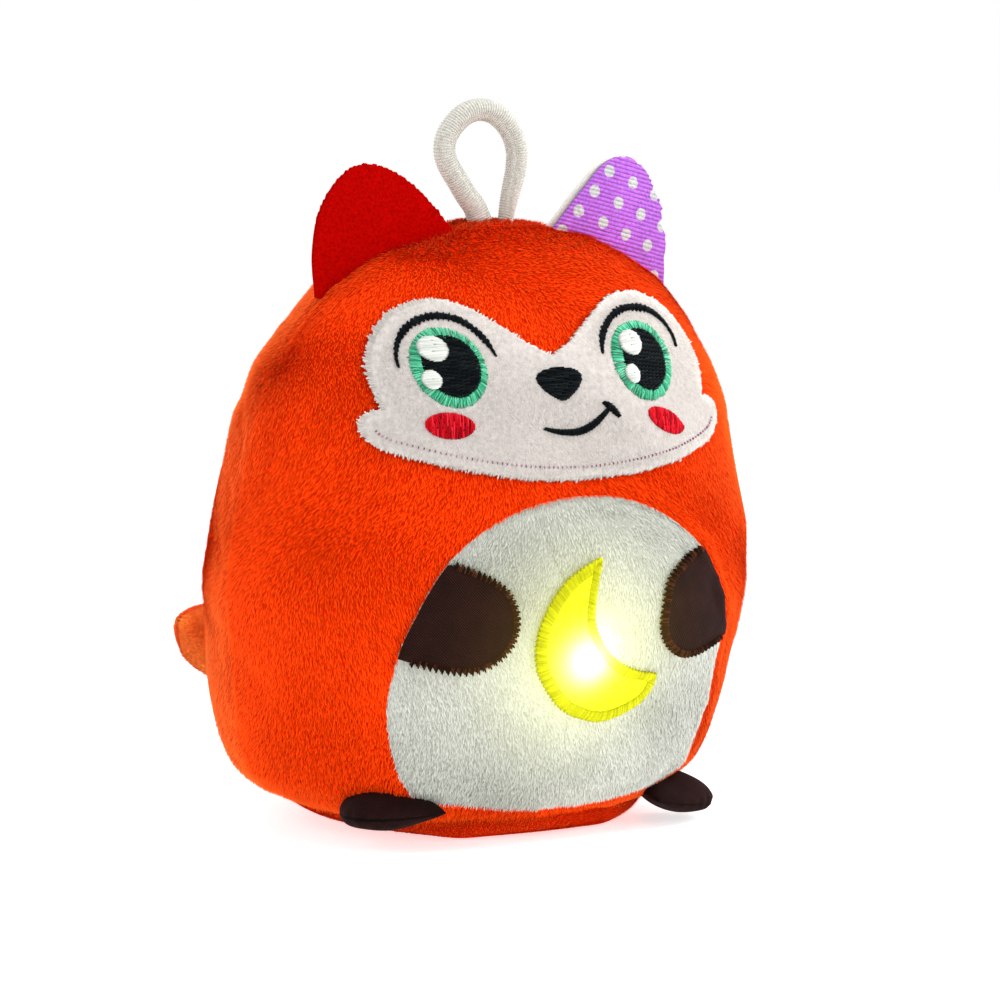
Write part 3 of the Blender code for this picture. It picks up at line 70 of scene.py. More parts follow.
def soft_light(name, place, aim, width, power):
    back = Vector(place) - Vector(aim)
    bpy.ops.object.light_add(type="AREA", location=place, rotation=back.to_track_quat("Z", "Y").to_euler())
    light = bpy.context.object
    light.name, light.data.size, light.data.energy = name, width, power


soft_light("front_light", (0.54, -0.90, 0.44), (0, 0, 0.07), 0.6, 5.5)
soft_light("overhead_light", (0.12, -0.05, 0.95), (0, 0, 0.07), 0.7, 8.5)
soft_light("right_hand_light", (0.85, 0.02, 0.48), (0, 0, 0.08), 0.5, 5.8)
soft_light("left_hand_light", (-0.82, -0.14, 0.54), (0, 0, 0.08), 0.5, 3.0)
soft_light("left_rear_light", (-0.62, 0.95, 0.40), (0, 0, 0.08), 0.5, 5.5)

white_room = bpy.data.worlds.new("white_room")
white_room.use_nodes = True
room = white_room.node_tree
room.nodes["Background"].inputs["Color"].default_value = (1, 1, 1, 1)
room.nodes["Background"].inputs["Strength"].default_value = 0.50
seen = room.nodes.new("ShaderNodeBackground")
seen.inputs["Color"].default_value = (1, 1, 1, 1)
mixed = room.nodes.new("ShaderNodeMixShader")
room.links.new(room.nodes.new("ShaderNodeLightPath").outputs["Is Camera Ray"], mixed.inputs[0])
room.links.new(room.nodes["Background"].outputs[0], mixed.inputs[1])
room.links.new(seen.outputs[0], mixed.inputs[2])
room.links.new(mixed.outputs[0], room.nodes["World Output"].inputs[0])
stage.world = white_room


# A small set of calls that lay out a procedural finish: one shader, and the nodes that feed it.
class Finish:
    """A cloth, thread or plastic finish, built up node by node."""

    def __init__(self, name, **fixed):
        self.material = bpy.data.materials.new(name)
        self.material.use_nodes = True
        self.tree = self.material.node_tree
        self.shader = self.tree.nodes["Principled BSDF"]
        for socket, value in fixed.items():
            self.shader.inputs[socket.replace("_", " ")].default_value = value

    def node(self, kind, settings=None, **inputs):
        """A new node, with the settings and the inputs given as values or as other nodes' sockets."""
        made = self.tree.nodes.new("ShaderNode" + kind)
        for key, value in (settings or {}).items():
            setattr(made, key, value)
        for key, value in inputs.items():
            numbered = key[0] == "i" and key[1:].isdigit()
            socket = made.inputs[int(key[1:]) if numbered else key.replace("_", " ")]
            if isinstance(value, bpy.types.NodeSocket):
                self.tree.links.new(value, socket)
            else:
                socket.default_value = value
        return made

    def place(self, scale=1.0):
        """Where a point is on the toy, in metres times the scale."""
        at = self.node("TexCoord").outputs["Object"]
        return self.node("Mapping", Vector=at, Scale=_three(scale)).outputs[0]

    def noise(self, scale, detail=2.0):
        return self.node("TexNoise", Vector=self.place(), Scale=scale, Detail=detail).outputs[0]

    def ramp(self, value, *stops):
        """Colours between the stops, each a place and a colour."""
        made = self.node("ValToRGB", Fac=value)
        band = made.color_ramp
        while len(band.elements) < len(stops):
            band.elements.new(0.5)
        for element, (where, colour) in zip(band.elements, stops):
            element.position = where
            element.color = (*_three(colour), 1)
        return made.outputs[0]

    def math(self, what, a, b=0.5, c=0.5):
        return self.node("Math", {"operation": what}, i0=a, i1=b, i2=c).outputs[0]

    def blend(self, share, a, b, how="MIX"):
        made = self.node("Mix", {"data_type": "RGBA", "blend_type": how})
        for socket, value in ((0, share), (6, a), (7, b)):
            if isinstance(value, bpy.types.NodeSocket):
                self.tree.links.new(value, made.inputs[socket])
            else:
                made.inputs[socket].default_value = (*value, 1) if hasattr(value, "__len__") else value
        return made.outputs[2]

    def wave(self, value, pitch):
        """Even ribs or yarns: from 0 to 1 and back once every pitch."""
        turns = self.math("MULTIPLY", value, math.tau / pitch)
        return self.math("MULTIPLY_ADD", self.math("SINE", turns), 0.5, 0.5)

    def attribute(self, name):
        return self.node("Attribute", {"attribute_name": name})

    def feed(self, socket, value):
        self.tree.links.new(value, self.shader.inputs[socket])

    def bump(self, height, depth, strength):
        self.feed("Normal", self.node("Bump", Height=height, Distance=depth, Strength=strength).outputs[0])

    def fibres(self, grain, detail, dark, light, depth, strength):
        """A colour between two, over the same fibres that make the surface rough."""
        strands = self.noise(grain, detail)
        self.feed("Base Color", self.ramp(strands, (0.3, dark), (0.7, light)))
        self.bump(strands, depth, strength)


def _three(value):
    return tuple(value) if hasattr(value, "__len__") else (value,) * 3


bpy.ops.mesh.primitive_plane_add(size=6.0, location=(0, 0, 0))
table = bpy.context.object
table.name = "pale_table"
table_top = Finish("pale_table_top", Roughness=0.35)
table_top.shader.inputs["Specular IOR Level"].default_value = 0.25
table_top.shader.inputs["Emission Color"].default_value = (1, 1, 1, 1)
table_top.shader.inputs["Emission Strength"].default_value = 0.62
table_top.feed("Base Color", table_top.ramp(table_top.noise(3.0), (0.3, 0.78), (0.7, 0.80)))
table.data.materials.append(table_top.material)

# The stuffed body, which every sewn piece lies on: rows of rounded sections from the floor to the crown,
# each a front half and a back half that meet on a leaning seam. Sizes are in metres.
body_height, body_half_width, front_depth, back_depth = 0.146, 0.0675, 0.0585, 0.062
section_power = 2.15
body_rows = np.array([
    (0.0, 0.490, 0.46, 0.580), (0.010, 0.600, 0.555, 0.660), (0.027, 0.652, 0.595, 0.734),
    (0.055, 0.785, 0.675, 0.823), (0.089, 0.867, 0.752, 0.895), (0.137, 0.910, 0.795, 0.952),
    (0.226, 0.956, 0.868, 1.0), (0.308, 0.982, 0.955, 0.980), (0.397, 1.0, 1.0, 0.935),
    (0.493, 0.993, 0.974, 0.895), (0.589, 0.966, 0.906, 0.831), (0.685, 0.930, 0.835, 0.755),
    (0.767, 0.863, 0.748, 0.661), (0.836, 0.775, 0.650, 0.565), (0.904, 0.650, 0.538, 0.452),
    (0.952, 0.493, 0.419, 0.323), (0.983, 0.304, 0.290, 0.169), (1.0, 0.0, 0.154, -0.145),
])


def seam_y(z):
    return 0.009 - 0.122 * z


def smoothed(values, reach):
    """Values with each one averaged with its neighbours, and the ends kept."""
    weights = np.exp(-np.linspace(-2, 2, 2 * reach + 1) ** 2)
    weights /= weights.sum()
    ends = np.concatenate([
        2 * values[0] - values[reach:0:-1], values, 2 * values[-1] - values[-2:-reach - 2:-1]])
    return np.convolve(ends, weights, "valid")


row_z = np.linspace(0, body_height, 700)
level_z = body_rows[:, 0] * body_height
width_rows, front_rows, back_rows = (
    np.maximum(smoothed(np.interp(row_z, level_z, half ** 2), 9), 1e-10)
    for half in (
        body_rows[:, 1] * body_half_width,
        body_rows[:, 2] * front_depth + seam_y(level_z),
        body_rows[:, 3] * back_depth - seam_y(level_z),
    )
)


def fullness(p):
    """Under 1 inside the body, 1 on it and more outside."""
    x, y, z = p[:, 0], p[:, 1] - seam_y(p[:, 2]), p[:, 2]
    width = np.sqrt(np.interp(z, row_z, width_rows))
    depth = np.sqrt(np.where(y < 0, np.interp(z, row_z, front_rows), np.interp(z, row_z, back_rows)))
    value = (np.abs(x) / width) ** section_power + (np.abs(y) / depth) ** section_power
    return np.where((z <= 0) | (z >= body_height), 9.0, value)


core = np.array((0.0, -0.002, 0.066))


def onto_body(points):
    """Each point moved straight out or in from the body's core until it lies on the body."""
    way = points - core
    way /= np.linalg.norm(way, axis=1)[:, None]
    low, high = np.zeros(len(points)), np.full(len(points), 0.12)
    for _ in range(24):
        middle = (low + high) / 2
        within = fullness(core + way * middle[:, None]) < 1
        low, high = np.where(within, middle, low), np.where(within, high, middle)
    return core + way * low[:, None]


def body_normals(points):
    """The outward direction at points on the body."""
    step = 0.0004
    slope = np.stack([
        fullness(points + step * axis) - fullness(points - step * axis) for axis in np.eye(3)], 1)
    flat = (points[:, 2] < step) | (points[:, 2] > body_height - step)
    slope[flat] = np.where(points[flat, 2:] < 0.05, (0, 0, -1.0), (0, 0, 1.0))
    return slope / np.linalg.norm(slope, axis=1)[:, None]


def front_of_body(x, z):
    """The places on the body's front at these distances across and up."""
    width = np.sqrt(np.interp(z, row_z, width_rows))
    depth = np.sqrt(np.interp(z, row_z, front_rows))
    inward = np.clip(1 - (np.abs(x) / width) ** section_power, 0, 1) ** (1 / section_power)
    return np.stack([x, seam_y(z) - depth * inward, z], 1)


def curve_through(points, corners=(), steps=8, closed=True):
    """A smooth line through points, sharp at the corners."""
    points, out = [np.array(p, float) for p in points], []
    count = len(points)
    for i in range(count if closed else count - 1):
        start, end = points[i], points[(i + 1) % count]
        ends = not closed and i == 0, not closed and i + 2 == count
        before = start if i in corners or ends[0] else points[i - 1]
        after = end if (i + 1) % count in corners or ends[1] else points[(i + 2) % count]
        leave, arrive = (end - before) / 2, (after - start) / 2
        for t in np.arange(steps) / steps:
            out.append(start + leave * t + (3 * (end - start) - 2 * leave - arrive) * t * t
                       + (2 * (start - end) + leave + arrive) * t ** 3)
    return np.array(out if closed else out + [points[-1]])


belly_half_width, belly_bottom, belly_height, belly_lean = 0.0455, 0.0072, 0.0771, 0.0025
belly_half = [
    (0.0, 1.0), (0.17, 0.993), (0.33, 0.971), (0.49, 0.933), (0.64, 0.877), (0.76, 0.81),
    (0.855, 0.725), (0.92, 0.645), (0.965, 0.56), (0.99, 0.475), (1.0, 0.387), (0.98, 0.294),
    (0.94, 0.201), (0.885, 0.122), (0.80, 0.066), (0.64, 0.033), (0.42, 0.010), (0.18, 0.001),
    (0.0, 0.0),
]


def both_halves(half, width, height, bottom):
    right = [(u * width, bottom + v * height) for u, v in half]
    return right + [(-x, z) for x, z in right[-2:0:-1]]


belly_line = curve_through([
    (x + belly_lean * (1 - (z - belly_bottom) / belly_height) ** 2, z)
    for x, z in both_halves(belly_half, belly_half_width, belly_height, belly_bottom)
])
base_seam = 0.004


def far_from_line(x, z, line):
    """How far points lie from a closed line, in the plane that faces the front."""
    nearest = np.full(len(x), 9.0)
    for (ax, az), (bx, bz) in zip(line, np.roll(line, -1, 0)):
        along = ((x - ax) * (bx - ax) + (z - az) * (bz - az)) / ((bx - ax) ** 2 + (bz - az) ** 2 + 1e-14)
        along = np.clip(along, 0, 1)
        nearest = np.minimum(nearest, np.hypot(x - ax - along * (bx - ax), z - az - along * (bz - az)))
    return nearest


lumps = np.random.default_rng(4)
lump_ways = lumps.normal(size=(14, 3)) * np.linspace(60, 190, 14)[:, None]
lump_starts = lumps.uniform(0, math.tau, 14)


def soft_lumps(points):
    """How far the cloth stands out or sinks in over uneven filling."""
    return sum(
        0.00022 * np.sin(points @ way + start) * (60 / np.linalg.norm(way)) ** 0.6
        for way, start in zip(lump_ways, lump_starts)
    )


# The seams: one up each side and over the crown, one round the base, and one round the belly. Each
# panel is laid out as rows of points from one seam to another.
def new_piece(name, points, faces, finish=None):
    """A new smooth object from rows of points and the faces between them."""
    mesh = bpy.data.meshes.new(name)
    mesh.from_pydata([tuple(p) for p in points], [], faces)
    if finish:
        mesh.materials.append(finish.material)
    mesh.shade_smooth()
    piece = bpy.data.objects.new(name, mesh)
    stage.collection.objects.link(piece)
    return piece


def rings(count_round, count_rows, closed=True):
    """The faces of rows of points, each row joined to the next one."""
    out = []
    for row in range(count_rows - 1):
        low, high = row * count_round, (row + 1) * count_round
        for i in range(count_round if closed else count_round - 1):
            j = (i + 1) % count_round
            out.append((low + i, low + j, high + j, high + i))
    return out


def panel_between(inner, outer, rows, ease=0.65):
    """Rows of points from one seam to another, closer together near both."""
    t = np.linspace(0, 1, rows)
    t = (1 - ease) * t + ease * (1 - np.cos(math.pi * t)) / 2
    return np.concatenate([inner * (1 - s) + outer * s for s in t])


side_heights = np.concatenate([
    np.linspace(base_seam, body_height * 0.93, 90),
    body_height * (1 - 0.07 * np.cos(np.linspace(0, math.pi / 2, 26)[1:]) ** 2),
])
side_widths = np.sqrt(np.interp(side_heights, row_z, width_rows))
side_seam = np.stack([side_widths, seam_y(side_heights), side_heights], 1)


def base_edge(front):
    """The base seam's front or back half, from the toy's right side to its left."""
    turns = np.linspace(0, math.pi, 104)
    depth = np.sqrt(np.interp(base_seam, row_z, front_rows if front else back_rows))
    bend = 2 / section_power
    x = -side_widths[0] * np.sign(np.cos(turns)) * np.abs(np.cos(turns)) ** bend
    y = seam_y(base_seam) + (-1 if front else 1) * depth * np.sin(turns) ** bend
    return np.stack([x, y, np.full(len(x), base_seam)], 1)


up_and_over = [side_seam, side_seam[-2:0:-1] * (-1, 1, 1)]
front_edge = np.concatenate([base_edge(True)[:-1], *up_and_over])
back_edge = np.concatenate([base_edge(False)[:-1], *up_and_over])
base_loop = np.concatenate([base_edge(True)[:-1], base_edge(False)[::-1][:-1]])

belly_middle = np.array((0.0, 0.050))
edge_turns = np.arctan2(front_edge[:, 2] - belly_middle[1], front_edge[:, 0])
line_turns = np.arctan2(belly_line[:, 1] - belly_middle[1], belly_line[:, 0])
order = np.argsort(line_turns)
line_reach = np.hypot(*(belly_line - belly_middle).T)
reach = np.interp(edge_turns, line_turns[order], line_reach[order], period=math.tau)
belly_edge = front_of_body(reach * np.cos(edge_turns), belly_middle[1] + reach * np.sin(edge_turns))
belly_core = front_of_body(
    0.004 * reach * np.cos(edge_turns), belly_middle[1] + 0.004 * reach * np.sin(edge_turns))
back_core = np.array((0.0, 0.045, 0.115)) + (back_edge - back_edge.mean(0)) * 0.002


# The stuffing. The panels are sewn into one bag, which a cloth simulation blows up while its seams
# hold it in. Everything that lies on the body is then laid on that bag.
most_moved = 0.0030


def blown_up():
    """The points and the faces of the stuffed bag."""
    around, small = len(front_edge), len(base_loop)
    sheets = [
        (panel_between(belly_edge, front_edge, 22), around, 22),
        (panel_between(belly_core, belly_edge, 16), around, 16),
        (panel_between(back_core, back_edge, 26), around, 26),
        (panel_between(base_loop * (0.1, 0.1, 0), base_loop, 10), small, 10),
    ]
    work = bmesh.new()
    seam = work.verts.layers.int.new("seam")
    for sheet, count, rows in sheets:
        sheet = onto_body(sheet)
        from_seam = np.minimum(np.arange(rows), np.arange(rows)[::-1]) / 3
        sunk = 0.0005 + 0.0009 * np.repeat(np.clip(from_seam, 0, 1), count)
        sheet += body_normals(sheet) * (soft_lumps(sheet) - sunk)[:, None]
        corners = [work.verts.new(p) for p in sheet]
        for face in rings(count, rows):
            work.faces.new([corners[i] for i in face])
        for corner in corners[-count:]:
            corner[seam] = 1
    bmesh.ops.remove_doubles(work, verts=work.verts, dist=0.00012)
    bmesh.ops.holes_fill(work, edges=work.edges)
    bmesh.ops.recalc_face_normals(work, faces=work.faces)
    mesh = bpy.data.meshes.new("bag")
    work.to_mesh(mesh)
    held = [corner.index for corner in work.verts if corner[seam] or corner.co.z < 0.0008]
    work.free()
    bag = bpy.data.objects.new("bag", mesh)
    stage.collection.objects.link(bag)
    before = np.array([corner.co for corner in mesh.vertices])
    bag.vertex_groups.new(name="seams").add(held, 1.0, "REPLACE")
    cloth = bag.modifiers.new("blow_up", "CLOTH").settings
    cloth.vertex_group_mass = "seams"
    cloth.quality, cloth.mass = 6, 0.15
    cloth.tension_stiffness = cloth.compression_stiffness = 25
    cloth.shear_stiffness, cloth.bending_stiffness = 12, 0.4
    cloth.shrink_min = -0.01
    cloth.use_pressure, cloth.uniform_pressure_force = True, 5.0
    cloth.effector_weights.gravity = 0
    for now in range(1, 21):
        stage.frame_set(now)
    apply_modifiers(bag)
    stage.frame_set(1)
    after = np.array([corner.co for corner in bag.data.vertices])
    moved = after - before
    far = np.linalg.norm(moved, axis=1)[:, None]
    after = before + moved * np.minimum(1, most_moved / (far + 1e-12))
    faces = [tuple(face.vertices) for face in bag.data.polygons]
    bpy.data.objects.remove(bag)
    return after, faces


def apply_modifiers(piece):
    bpy.ops.object.select_all(action="DESELECT")
    piece.select_set(True)
    bpy.context.view_layer.objects.active = piece
    for modifier in list(piece.modifiers):
        bpy.ops.object.modifier_apply(modifier=modifier.name)


bag_points, bag_faces = blown_up()
bag_tree = BVHTree.FromPolygons([tuple(p) for p in bag_points], bag_faces)


def seam_valley(points):
    """How far the cloth is drawn in along the seams."""
    x, y, z = points.T
    aside = np.abs(y - seam_y(z))
    deep = 0.0007 * np.exp(-(aside / 0.0017) ** 2) + 0.0003 * np.exp(-((z - base_seam) / 0.0016) ** 2)
    in_front = y < seam_y(z)
    rim = np.full(len(x), 9.0)
    rim[in_front] = far_from_line(x[in_front], z[in_front], belly_line[::3])
    return deep + 0.0008 * np.exp(-(rim / 0.0014) ** 2)


def on_toy(points, outset=0.0):
    """Points laid on the stuffed body, or at a distance above it."""
    on_form = onto_body(points)
    ways = on_form - core
    reach = np.linalg.norm(ways, axis=1)
    ways /= reach[:, None]
    start = Vector(core)
    hits = [bag_tree.ray_cast(start, Vector(way))[3] for way in ways]
    found = np.array([far if near is None else near for near, far in zip(hits, reach)])
    out = 0.0003 - seam_valley(on_form) + outset
    return core + ways * found[:, None] + body_normals(on_form) * out[:, None]


# The orange minky cloth of the front, from the belly's seam out to the side seam, over the crown and
# down to the base seam. It is a short-pile plush: a knitted ground under a dense nap of fine tufts that
# is brushed downwards, with painted shade at its roots.
def facing_out(piece):
    """Turn a sheet's faces to the side that points away from the body's core."""
    mesh = piece.data
    mesh.update()
    centres = np.array([f.center for f in mesh.polygons]) - core
    normals = np.array([f.normal for f in mesh.polygons])
    if (centres * normals).sum() < 0:
        mesh.flip_normals()


def outward_faces(made):
    """Turn a closed shape's faces outwards."""
    work = bmesh.new()
    work.from_mesh(made.data)
    bmesh.ops.recalc_face_normals(work, faces=work.faces)
    work.to_mesh(made.data)
    work.free()


def lined(piece, thickness):
    """Give a sheet of cloth its thickness, inwards."""
    wall = piece.modifiers.new("cloth", "SOLIDIFY")
    wall.thickness, wall.offset, wall.use_even_offset = thickness, -1, False
    apply_modifiers(piece)


blade = bpy.data.meshes.new("one_tuft")
blade.from_pydata([(-0.00017, 0, 0), (0.00017, 0, 0), (0, 0, 0.0012)], [], [(0, 2, 1)])
blade.attributes.new("tip", "FLOAT", "POINT").data.foreach_set("value", (0.0, 0.0, 1.0))
tuft = bpy.data.objects.new("one_tuft", blade)


def pile_nodes():
    """Nodes that lay a tuft on each of many scattered points of a cloth, along its nap."""
    group = bpy.data.node_groups.new("minky_pile", "GeometryNodeTree")
    for name, kind in (("Cloth", "Geometry"), ("Density", "Float"), ("Length", "Float"), ("Seed", "Int"),
                       ("Finish", "Material")):
        group.interface.new_socket(name, in_out="INPUT", socket_type="NodeSocket" + kind)
    group.interface.new_socket("Plush", in_out="OUTPUT", socket_type="NodeSocketGeometry")

    def add(kind, settings=None, **inputs):
        made = group.nodes.new(kind)
        for key, value in (settings or {}).items():
            setattr(made, key, value)
        for key, value in inputs.items():
            socket = made.inputs[int(key[1:]) if key[1:].isdigit() else key]
            if isinstance(value, bpy.types.NodeSocket):
                group.links.new(value, socket)
            else:
                socket.default_value = value
        return made

    given, result = add("NodeGroupInput"), add("NodeGroupOutput")
    stored = {
        name: add("GeometryNodeInputNamedAttribute", {"data_type": kind}, Name=name).outputs["Attribute"]
        for name, kind in (("nap", "FLOAT_VECTOR"), ("skin", "FLOAT_VECTOR"), ("thick", "FLOAT"))
    }
    share = add("ShaderNodeMath", {"operation": "MULTIPLY"}, i0=given.outputs["Density"], i1=stored["thick"])
    scatter = add("GeometryNodeDistributePointsOnFaces", None, Mesh=given.outputs["Cloth"],
                  Density=share.outputs[0], Seed=given.outputs["Seed"])
    stray = add("FunctionNodeRandomValue", {"data_type": "FLOAT_VECTOR"}, Min=(-0.35,) * 3, Max=(0.35,) * 3)
    way = add("ShaderNodeVectorMath", None, i0=stored["nap"], i1=stray.outputs[0])
    lean = add("FunctionNodeAlignRotationToVector", {"axis": "Z"}, Vector=way.outputs[0])
    flat = add("FunctionNodeAlignRotationToVector", {"axis": "Y", "pivot_axis": "Z"},
               Rotation=lean.outputs[0], Vector=stored["skin"])
    size = add("FunctionNodeRandomValue", {"data_type": "FLOAT"}, i2=0.7, i3=1.15)
    length = add("ShaderNodeMath", {"operation": "MULTIPLY"}, i0=size.outputs[1], i1=given.outputs["Length"])
    one = add("GeometryNodeObjectInfo", None, Object=tuft)
    stand = add("GeometryNodeInstanceOnPoints", None, Points=scatter.outputs["Points"],
                Instance=one.outputs["Geometry"], Rotation=flat.outputs[0], Scale=length.outputs[0])
    chance = add("FunctionNodeRandomValue", {"data_type": "FLOAT"})
    mark = add("GeometryNodeStoreNamedAttribute", {"data_type": "FLOAT", "domain": "INSTANCE"},
               Geometry=stand.outputs[0], Name="chance", Value=chance.outputs[1])
    real = add("GeometryNodeRealizeInstances", None, i0=mark.outputs[0])
    add_dye = add("GeometryNodeSetMaterial", None, Geometry=real.outputs[0], Material=given.outputs["Finish"])
    group.links.new(add_dye.outputs[0], result.inputs[0])
    return group


minky_pile = pile_nodes()


def store(mesh, name, values):
    """Keep a number or a direction for each corner of a mesh, by name."""
    values = np.asarray(values, np.float32)
    kind, key = ("FLOAT_VECTOR", "vector") if values.ndim == 2 else ("FLOAT", "value")
    mesh.attributes.new(name, kind, "POINT").data.foreach_set(key, values.ravel())


def bake_map(mesh, places, spread=0.0):
    """The map that an exported copy is painted by: a place for each corner, a little apart in a tuft."""
    at = np.array([corner.vertex_index for corner in mesh.loops])
    flat = places[at]
    if spread:
        flat = flat + np.tile([(-spread, 0), (0, 2 * spread), (spread, 0)], (len(flat) // 3, 1))
    mesh.uv_layers.new(name="OFBake").data.foreach_set("uv", flat.ravel().astype(np.float32))


def grow_pile(name, points, faces, finish, per_mm2, length, lean=2.0, flow=(0.0, 0.0, -1.0), seed=1,
              bare=None, outward=None, body="root", upwards=True):
    """The pile of a cloth, as a piece of its own: leaning tufts all over it, but for where it is bare."""
    pile = new_piece(name, points, faces, finish)
    if upwards:
        facing_out(pile)
    points = np.asarray(points)
    outward = body_normals(onto_body(points)) if outward is None else outward
    down = np.array(flow) - outward * (outward @ np.array(flow))[:, None]
    steep = np.linalg.norm(down, axis=1)[:, None]
    down = down / np.maximum(steep, 0.25)
    swirl = np.stack([
        np.sin(points @ np.array(way) + start) for way, start in (
            ((70, 40, 110), 0.3), ((50, 90, 60), 2.0), ((80, 50, 130), 4.0))], 1)
    swirl -= outward * (swirl * outward).sum(1)[:, None]
    store(pile.data, "nap", outward + lean * (down + 0.35 * swirl))
    store(pile.data, "skin", outward)
    store(pile.data, "thick", np.ones(len(points)) if bare is None else bare(points))
    around = np.arctan2(points[:, 0], -points[:, 1]) / math.tau + 0.5
    low, high = points[:, 2].min(), points[:, 2].max()
    store(pile.data, "map_x", around)
    store(pile.data, "map_y", (points[:, 2] - low) / (high - low))
    grown = pile.modifiers.new("pile", "NODES")
    grown.node_group = minky_pile
    settings = {"Density": per_mm2 * 1e6, "Length": length, "Seed": seed, "Finish": finish.material}
    for item in minky_pile.interface.items_tree:
        if item.name in settings:
            grown[item.identifier] = settings[item.name]
    apply_modifiers(pile)
    places = np.stack([read(pile.data, "map_x"), read(pile.data, "map_y")], 1) * 0.98 + 0.01
    bake_map(pile.data, places, 0.0006)
    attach(pile, body)
    return pile


def read(mesh, name):
    values = np.empty(len(mesh.vertices), np.float32)
    mesh.attributes[name].data.foreach_get("value", values)
    return values


def plush(name, root, body, tip_highlight_colour, rim, sheen):
    """Minky: painted shade between the tufts, a painted highlight at their tips, and brighter where the pile
    is seen edge on.
    """
    cloth = Finish(name, Roughness=0.9, Specular_IOR_Level=0.0, Sheen_Weight=sheen, Sheen_Roughness=0.45,
                   Sheen_Tint=(*rim, 1))
    # Painted shade and highlight: each tuft runs from the dark root colour at its foot to the light tip
    # colour.
    shade = cloth.ramp(cloth.attribute("tip").outputs["Fac"], (0.0, root), (0.5, body), (1.0, tip_highlight_colour))
    patches = cloth.ramp(cloth.noise(45.0, 3.0), (0.35, 0.88), (0.65, 1.05))
    shade = cloth.blend(1.0, shade, patches, "MULTIPLY")
    flecks = cloth.ramp(cloth.attribute("chance").outputs["Fac"], (0.0, 0.72), (1.0, 1.15))
    cloth.feed("Base Color", cloth.blend(1.0, shade, flecks, "MULTIPLY"))
    own = cloth.node("NewGeometry").outputs["Normal"]
    skin = cloth.node(
        "VectorTransform", {"vector_type": "NORMAL", "convert_from": "OBJECT", "convert_to": "WORLD"},
        Vector=cloth.attribute("skin").outputs["Vector"]).outputs[0]
    agrees = cloth.node("VectorMath", {"operation": "DOT_PRODUCT"}, i0=own, i1=skin).outputs["Value"]
    side = cloth.math("SIGN", agrees)
    facing = cloth.node("VectorMath", {"operation": "SCALE"}, i0=skin, Scale=side).outputs[0]
    mixed = cloth.node("Mix", {"data_type": "VECTOR"}, Factor=0.7)
    cloth.tree.links.new(own, mixed.inputs[4])
    cloth.tree.links.new(facing, mixed.inputs[5])
    cloth.feed("Normal", cloth.node("VectorMath", {"operation": "NORMALIZE"}, i0=mixed.outputs[1]).outputs[0])
    return cloth


def ground(name, colour):
    """The knitted ground that the tufts stand on, which shows between them and on the inside."""
    cloth = Finish(name, Roughness=0.95, Specular_IOR_Level=0.0)
    cloth.fibres(900.0, 2.0, tuple(0.75 * c for c in colour), colour, 0.0002, 0.5)
    return cloth


orange_plush = plush(
    "orange_minky", (0.62, 0.012, 0.0003), (0.97, 0.038, 0.0010), (1.0, 0.130, 0.009), (1.0, 0.34, 0.08), 0.6)
# Painted light: a lighter copy of the orange minky for the back panel, standing in for the light from behind
# on its rim.
orange_back_painted_light = plush(
    "orange_minky_back", (0.68, 0.020, 0.0007), (0.96, 0.064, 0.004), (1.0, 0.18, 0.020), (1.0, 0.40, 0.12),
    0.65)
# Painted shade: the ground gets the pile's dark root colour, for the shade between the tufts.
orange_ground_painted_shade = ground("orange_minky_ground", (0.62, 0.016, 0.0004))
back_ground_painted_light = ground("orange_back_ground", (0.76, 0.042, 0.003))
# Painted light: a much lighter copy of the orange minky for the tail, standing in for the light on it.
tail_ground_painted_light = ground("orange_tail_ground", (0.92, 0.20, 0.032))
orange_tail_painted_light = plush(
    "orange_minky_tail", (0.84, 0.120, 0.016), (0.97, 0.25, 0.038), (1.0, 0.38, 0.080), (1.0, 0.55, 0.25),
    0.6)


def panel(name, node, points, count, rows, finish):
    """A panel of the body: its cloth, from its rows of points."""
    cloth = new_piece(name, points, rings(count, rows), finish)
    facing_out(cloth)
    u, v = np.meshgrid(np.linspace(0.01, 0.99, count), np.linspace(0.01, 0.99, rows))
    lined(cloth, 0.0009)
    bake_map(cloth.data, np.tile(np.stack([u.ravel(), v.ravel()], 1), (2, 1))[:len(cloth.data.vertices)])
    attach(cloth, "root")
    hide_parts(node)


ground_sunk = -0.0002
front_count, back_count, belly_count, base_count = 46, 52, 40, 30
front_points = on_toy(panel_between(belly_edge, front_edge, front_count), ground_sunk)
panel("front_minky", "front_panel", front_points, len(front_edge), front_count, orange_ground_painted_shade)

face_x = -0.0022
mask_half_width, mask_bottom, mask_height = 0.0476, 0.08775, 0.0415
mask_half = [
    (0.0, 0.670), (0.12, 0.742), (0.25, 0.855), (0.40, 0.965), (0.55, 1.0), (0.68, 0.962),
    (0.785, 0.89), (0.86, 0.785), (0.905, 0.68), (0.92, 0.57), (0.905, 0.46), (0.893, 0.392),
    (0.965, 0.368), (1.0, 0.312), (0.98, 0.235), (0.91, 0.165), (0.765, 0.105), (0.59, 0.055),
    (0.36, 0.018), (0.13, 0.002), (0.0, 0.0),
]
mask_line = curve_through(both_halves(mask_half, mask_half_width, mask_height, mask_bottom), (0, 11, 29), 6)
mask_line[:, 0] *= np.where(mask_line[:, 0] < 0, 0.972, 1.0)
mask_line[:, 1] += 0.0011 * np.exp(-((mask_line[:, 0] + 0.030) / 0.016) ** 2) * (mask_line[:, 1] < 0.0985)
mask_line += (face_x, 0.0004)


def within_line(x, z, line):
    """Which points lie inside a closed line."""
    inside = np.zeros(len(x), bool)
    for (ax, az), (bx, bz) in zip(line, np.roll(line, -1, 0)):
        if az != bz:
            inside ^= ((az > z) != (bz > z)) & (x < (bx - ax) * (z - az) / (bz - az) + ax)
    return inside


def clear_of_mask(points):
    return ~(within_line(points[:, 0], points[:, 2], mask_line) & (points[:, 1] < 0)) * 1.0


front_pile = grow_pile(
    "front_pile", front_points, rings(len(front_edge), front_count), orange_plush, 8.0, 1.0, seed=3,
    bare=clear_of_mask)
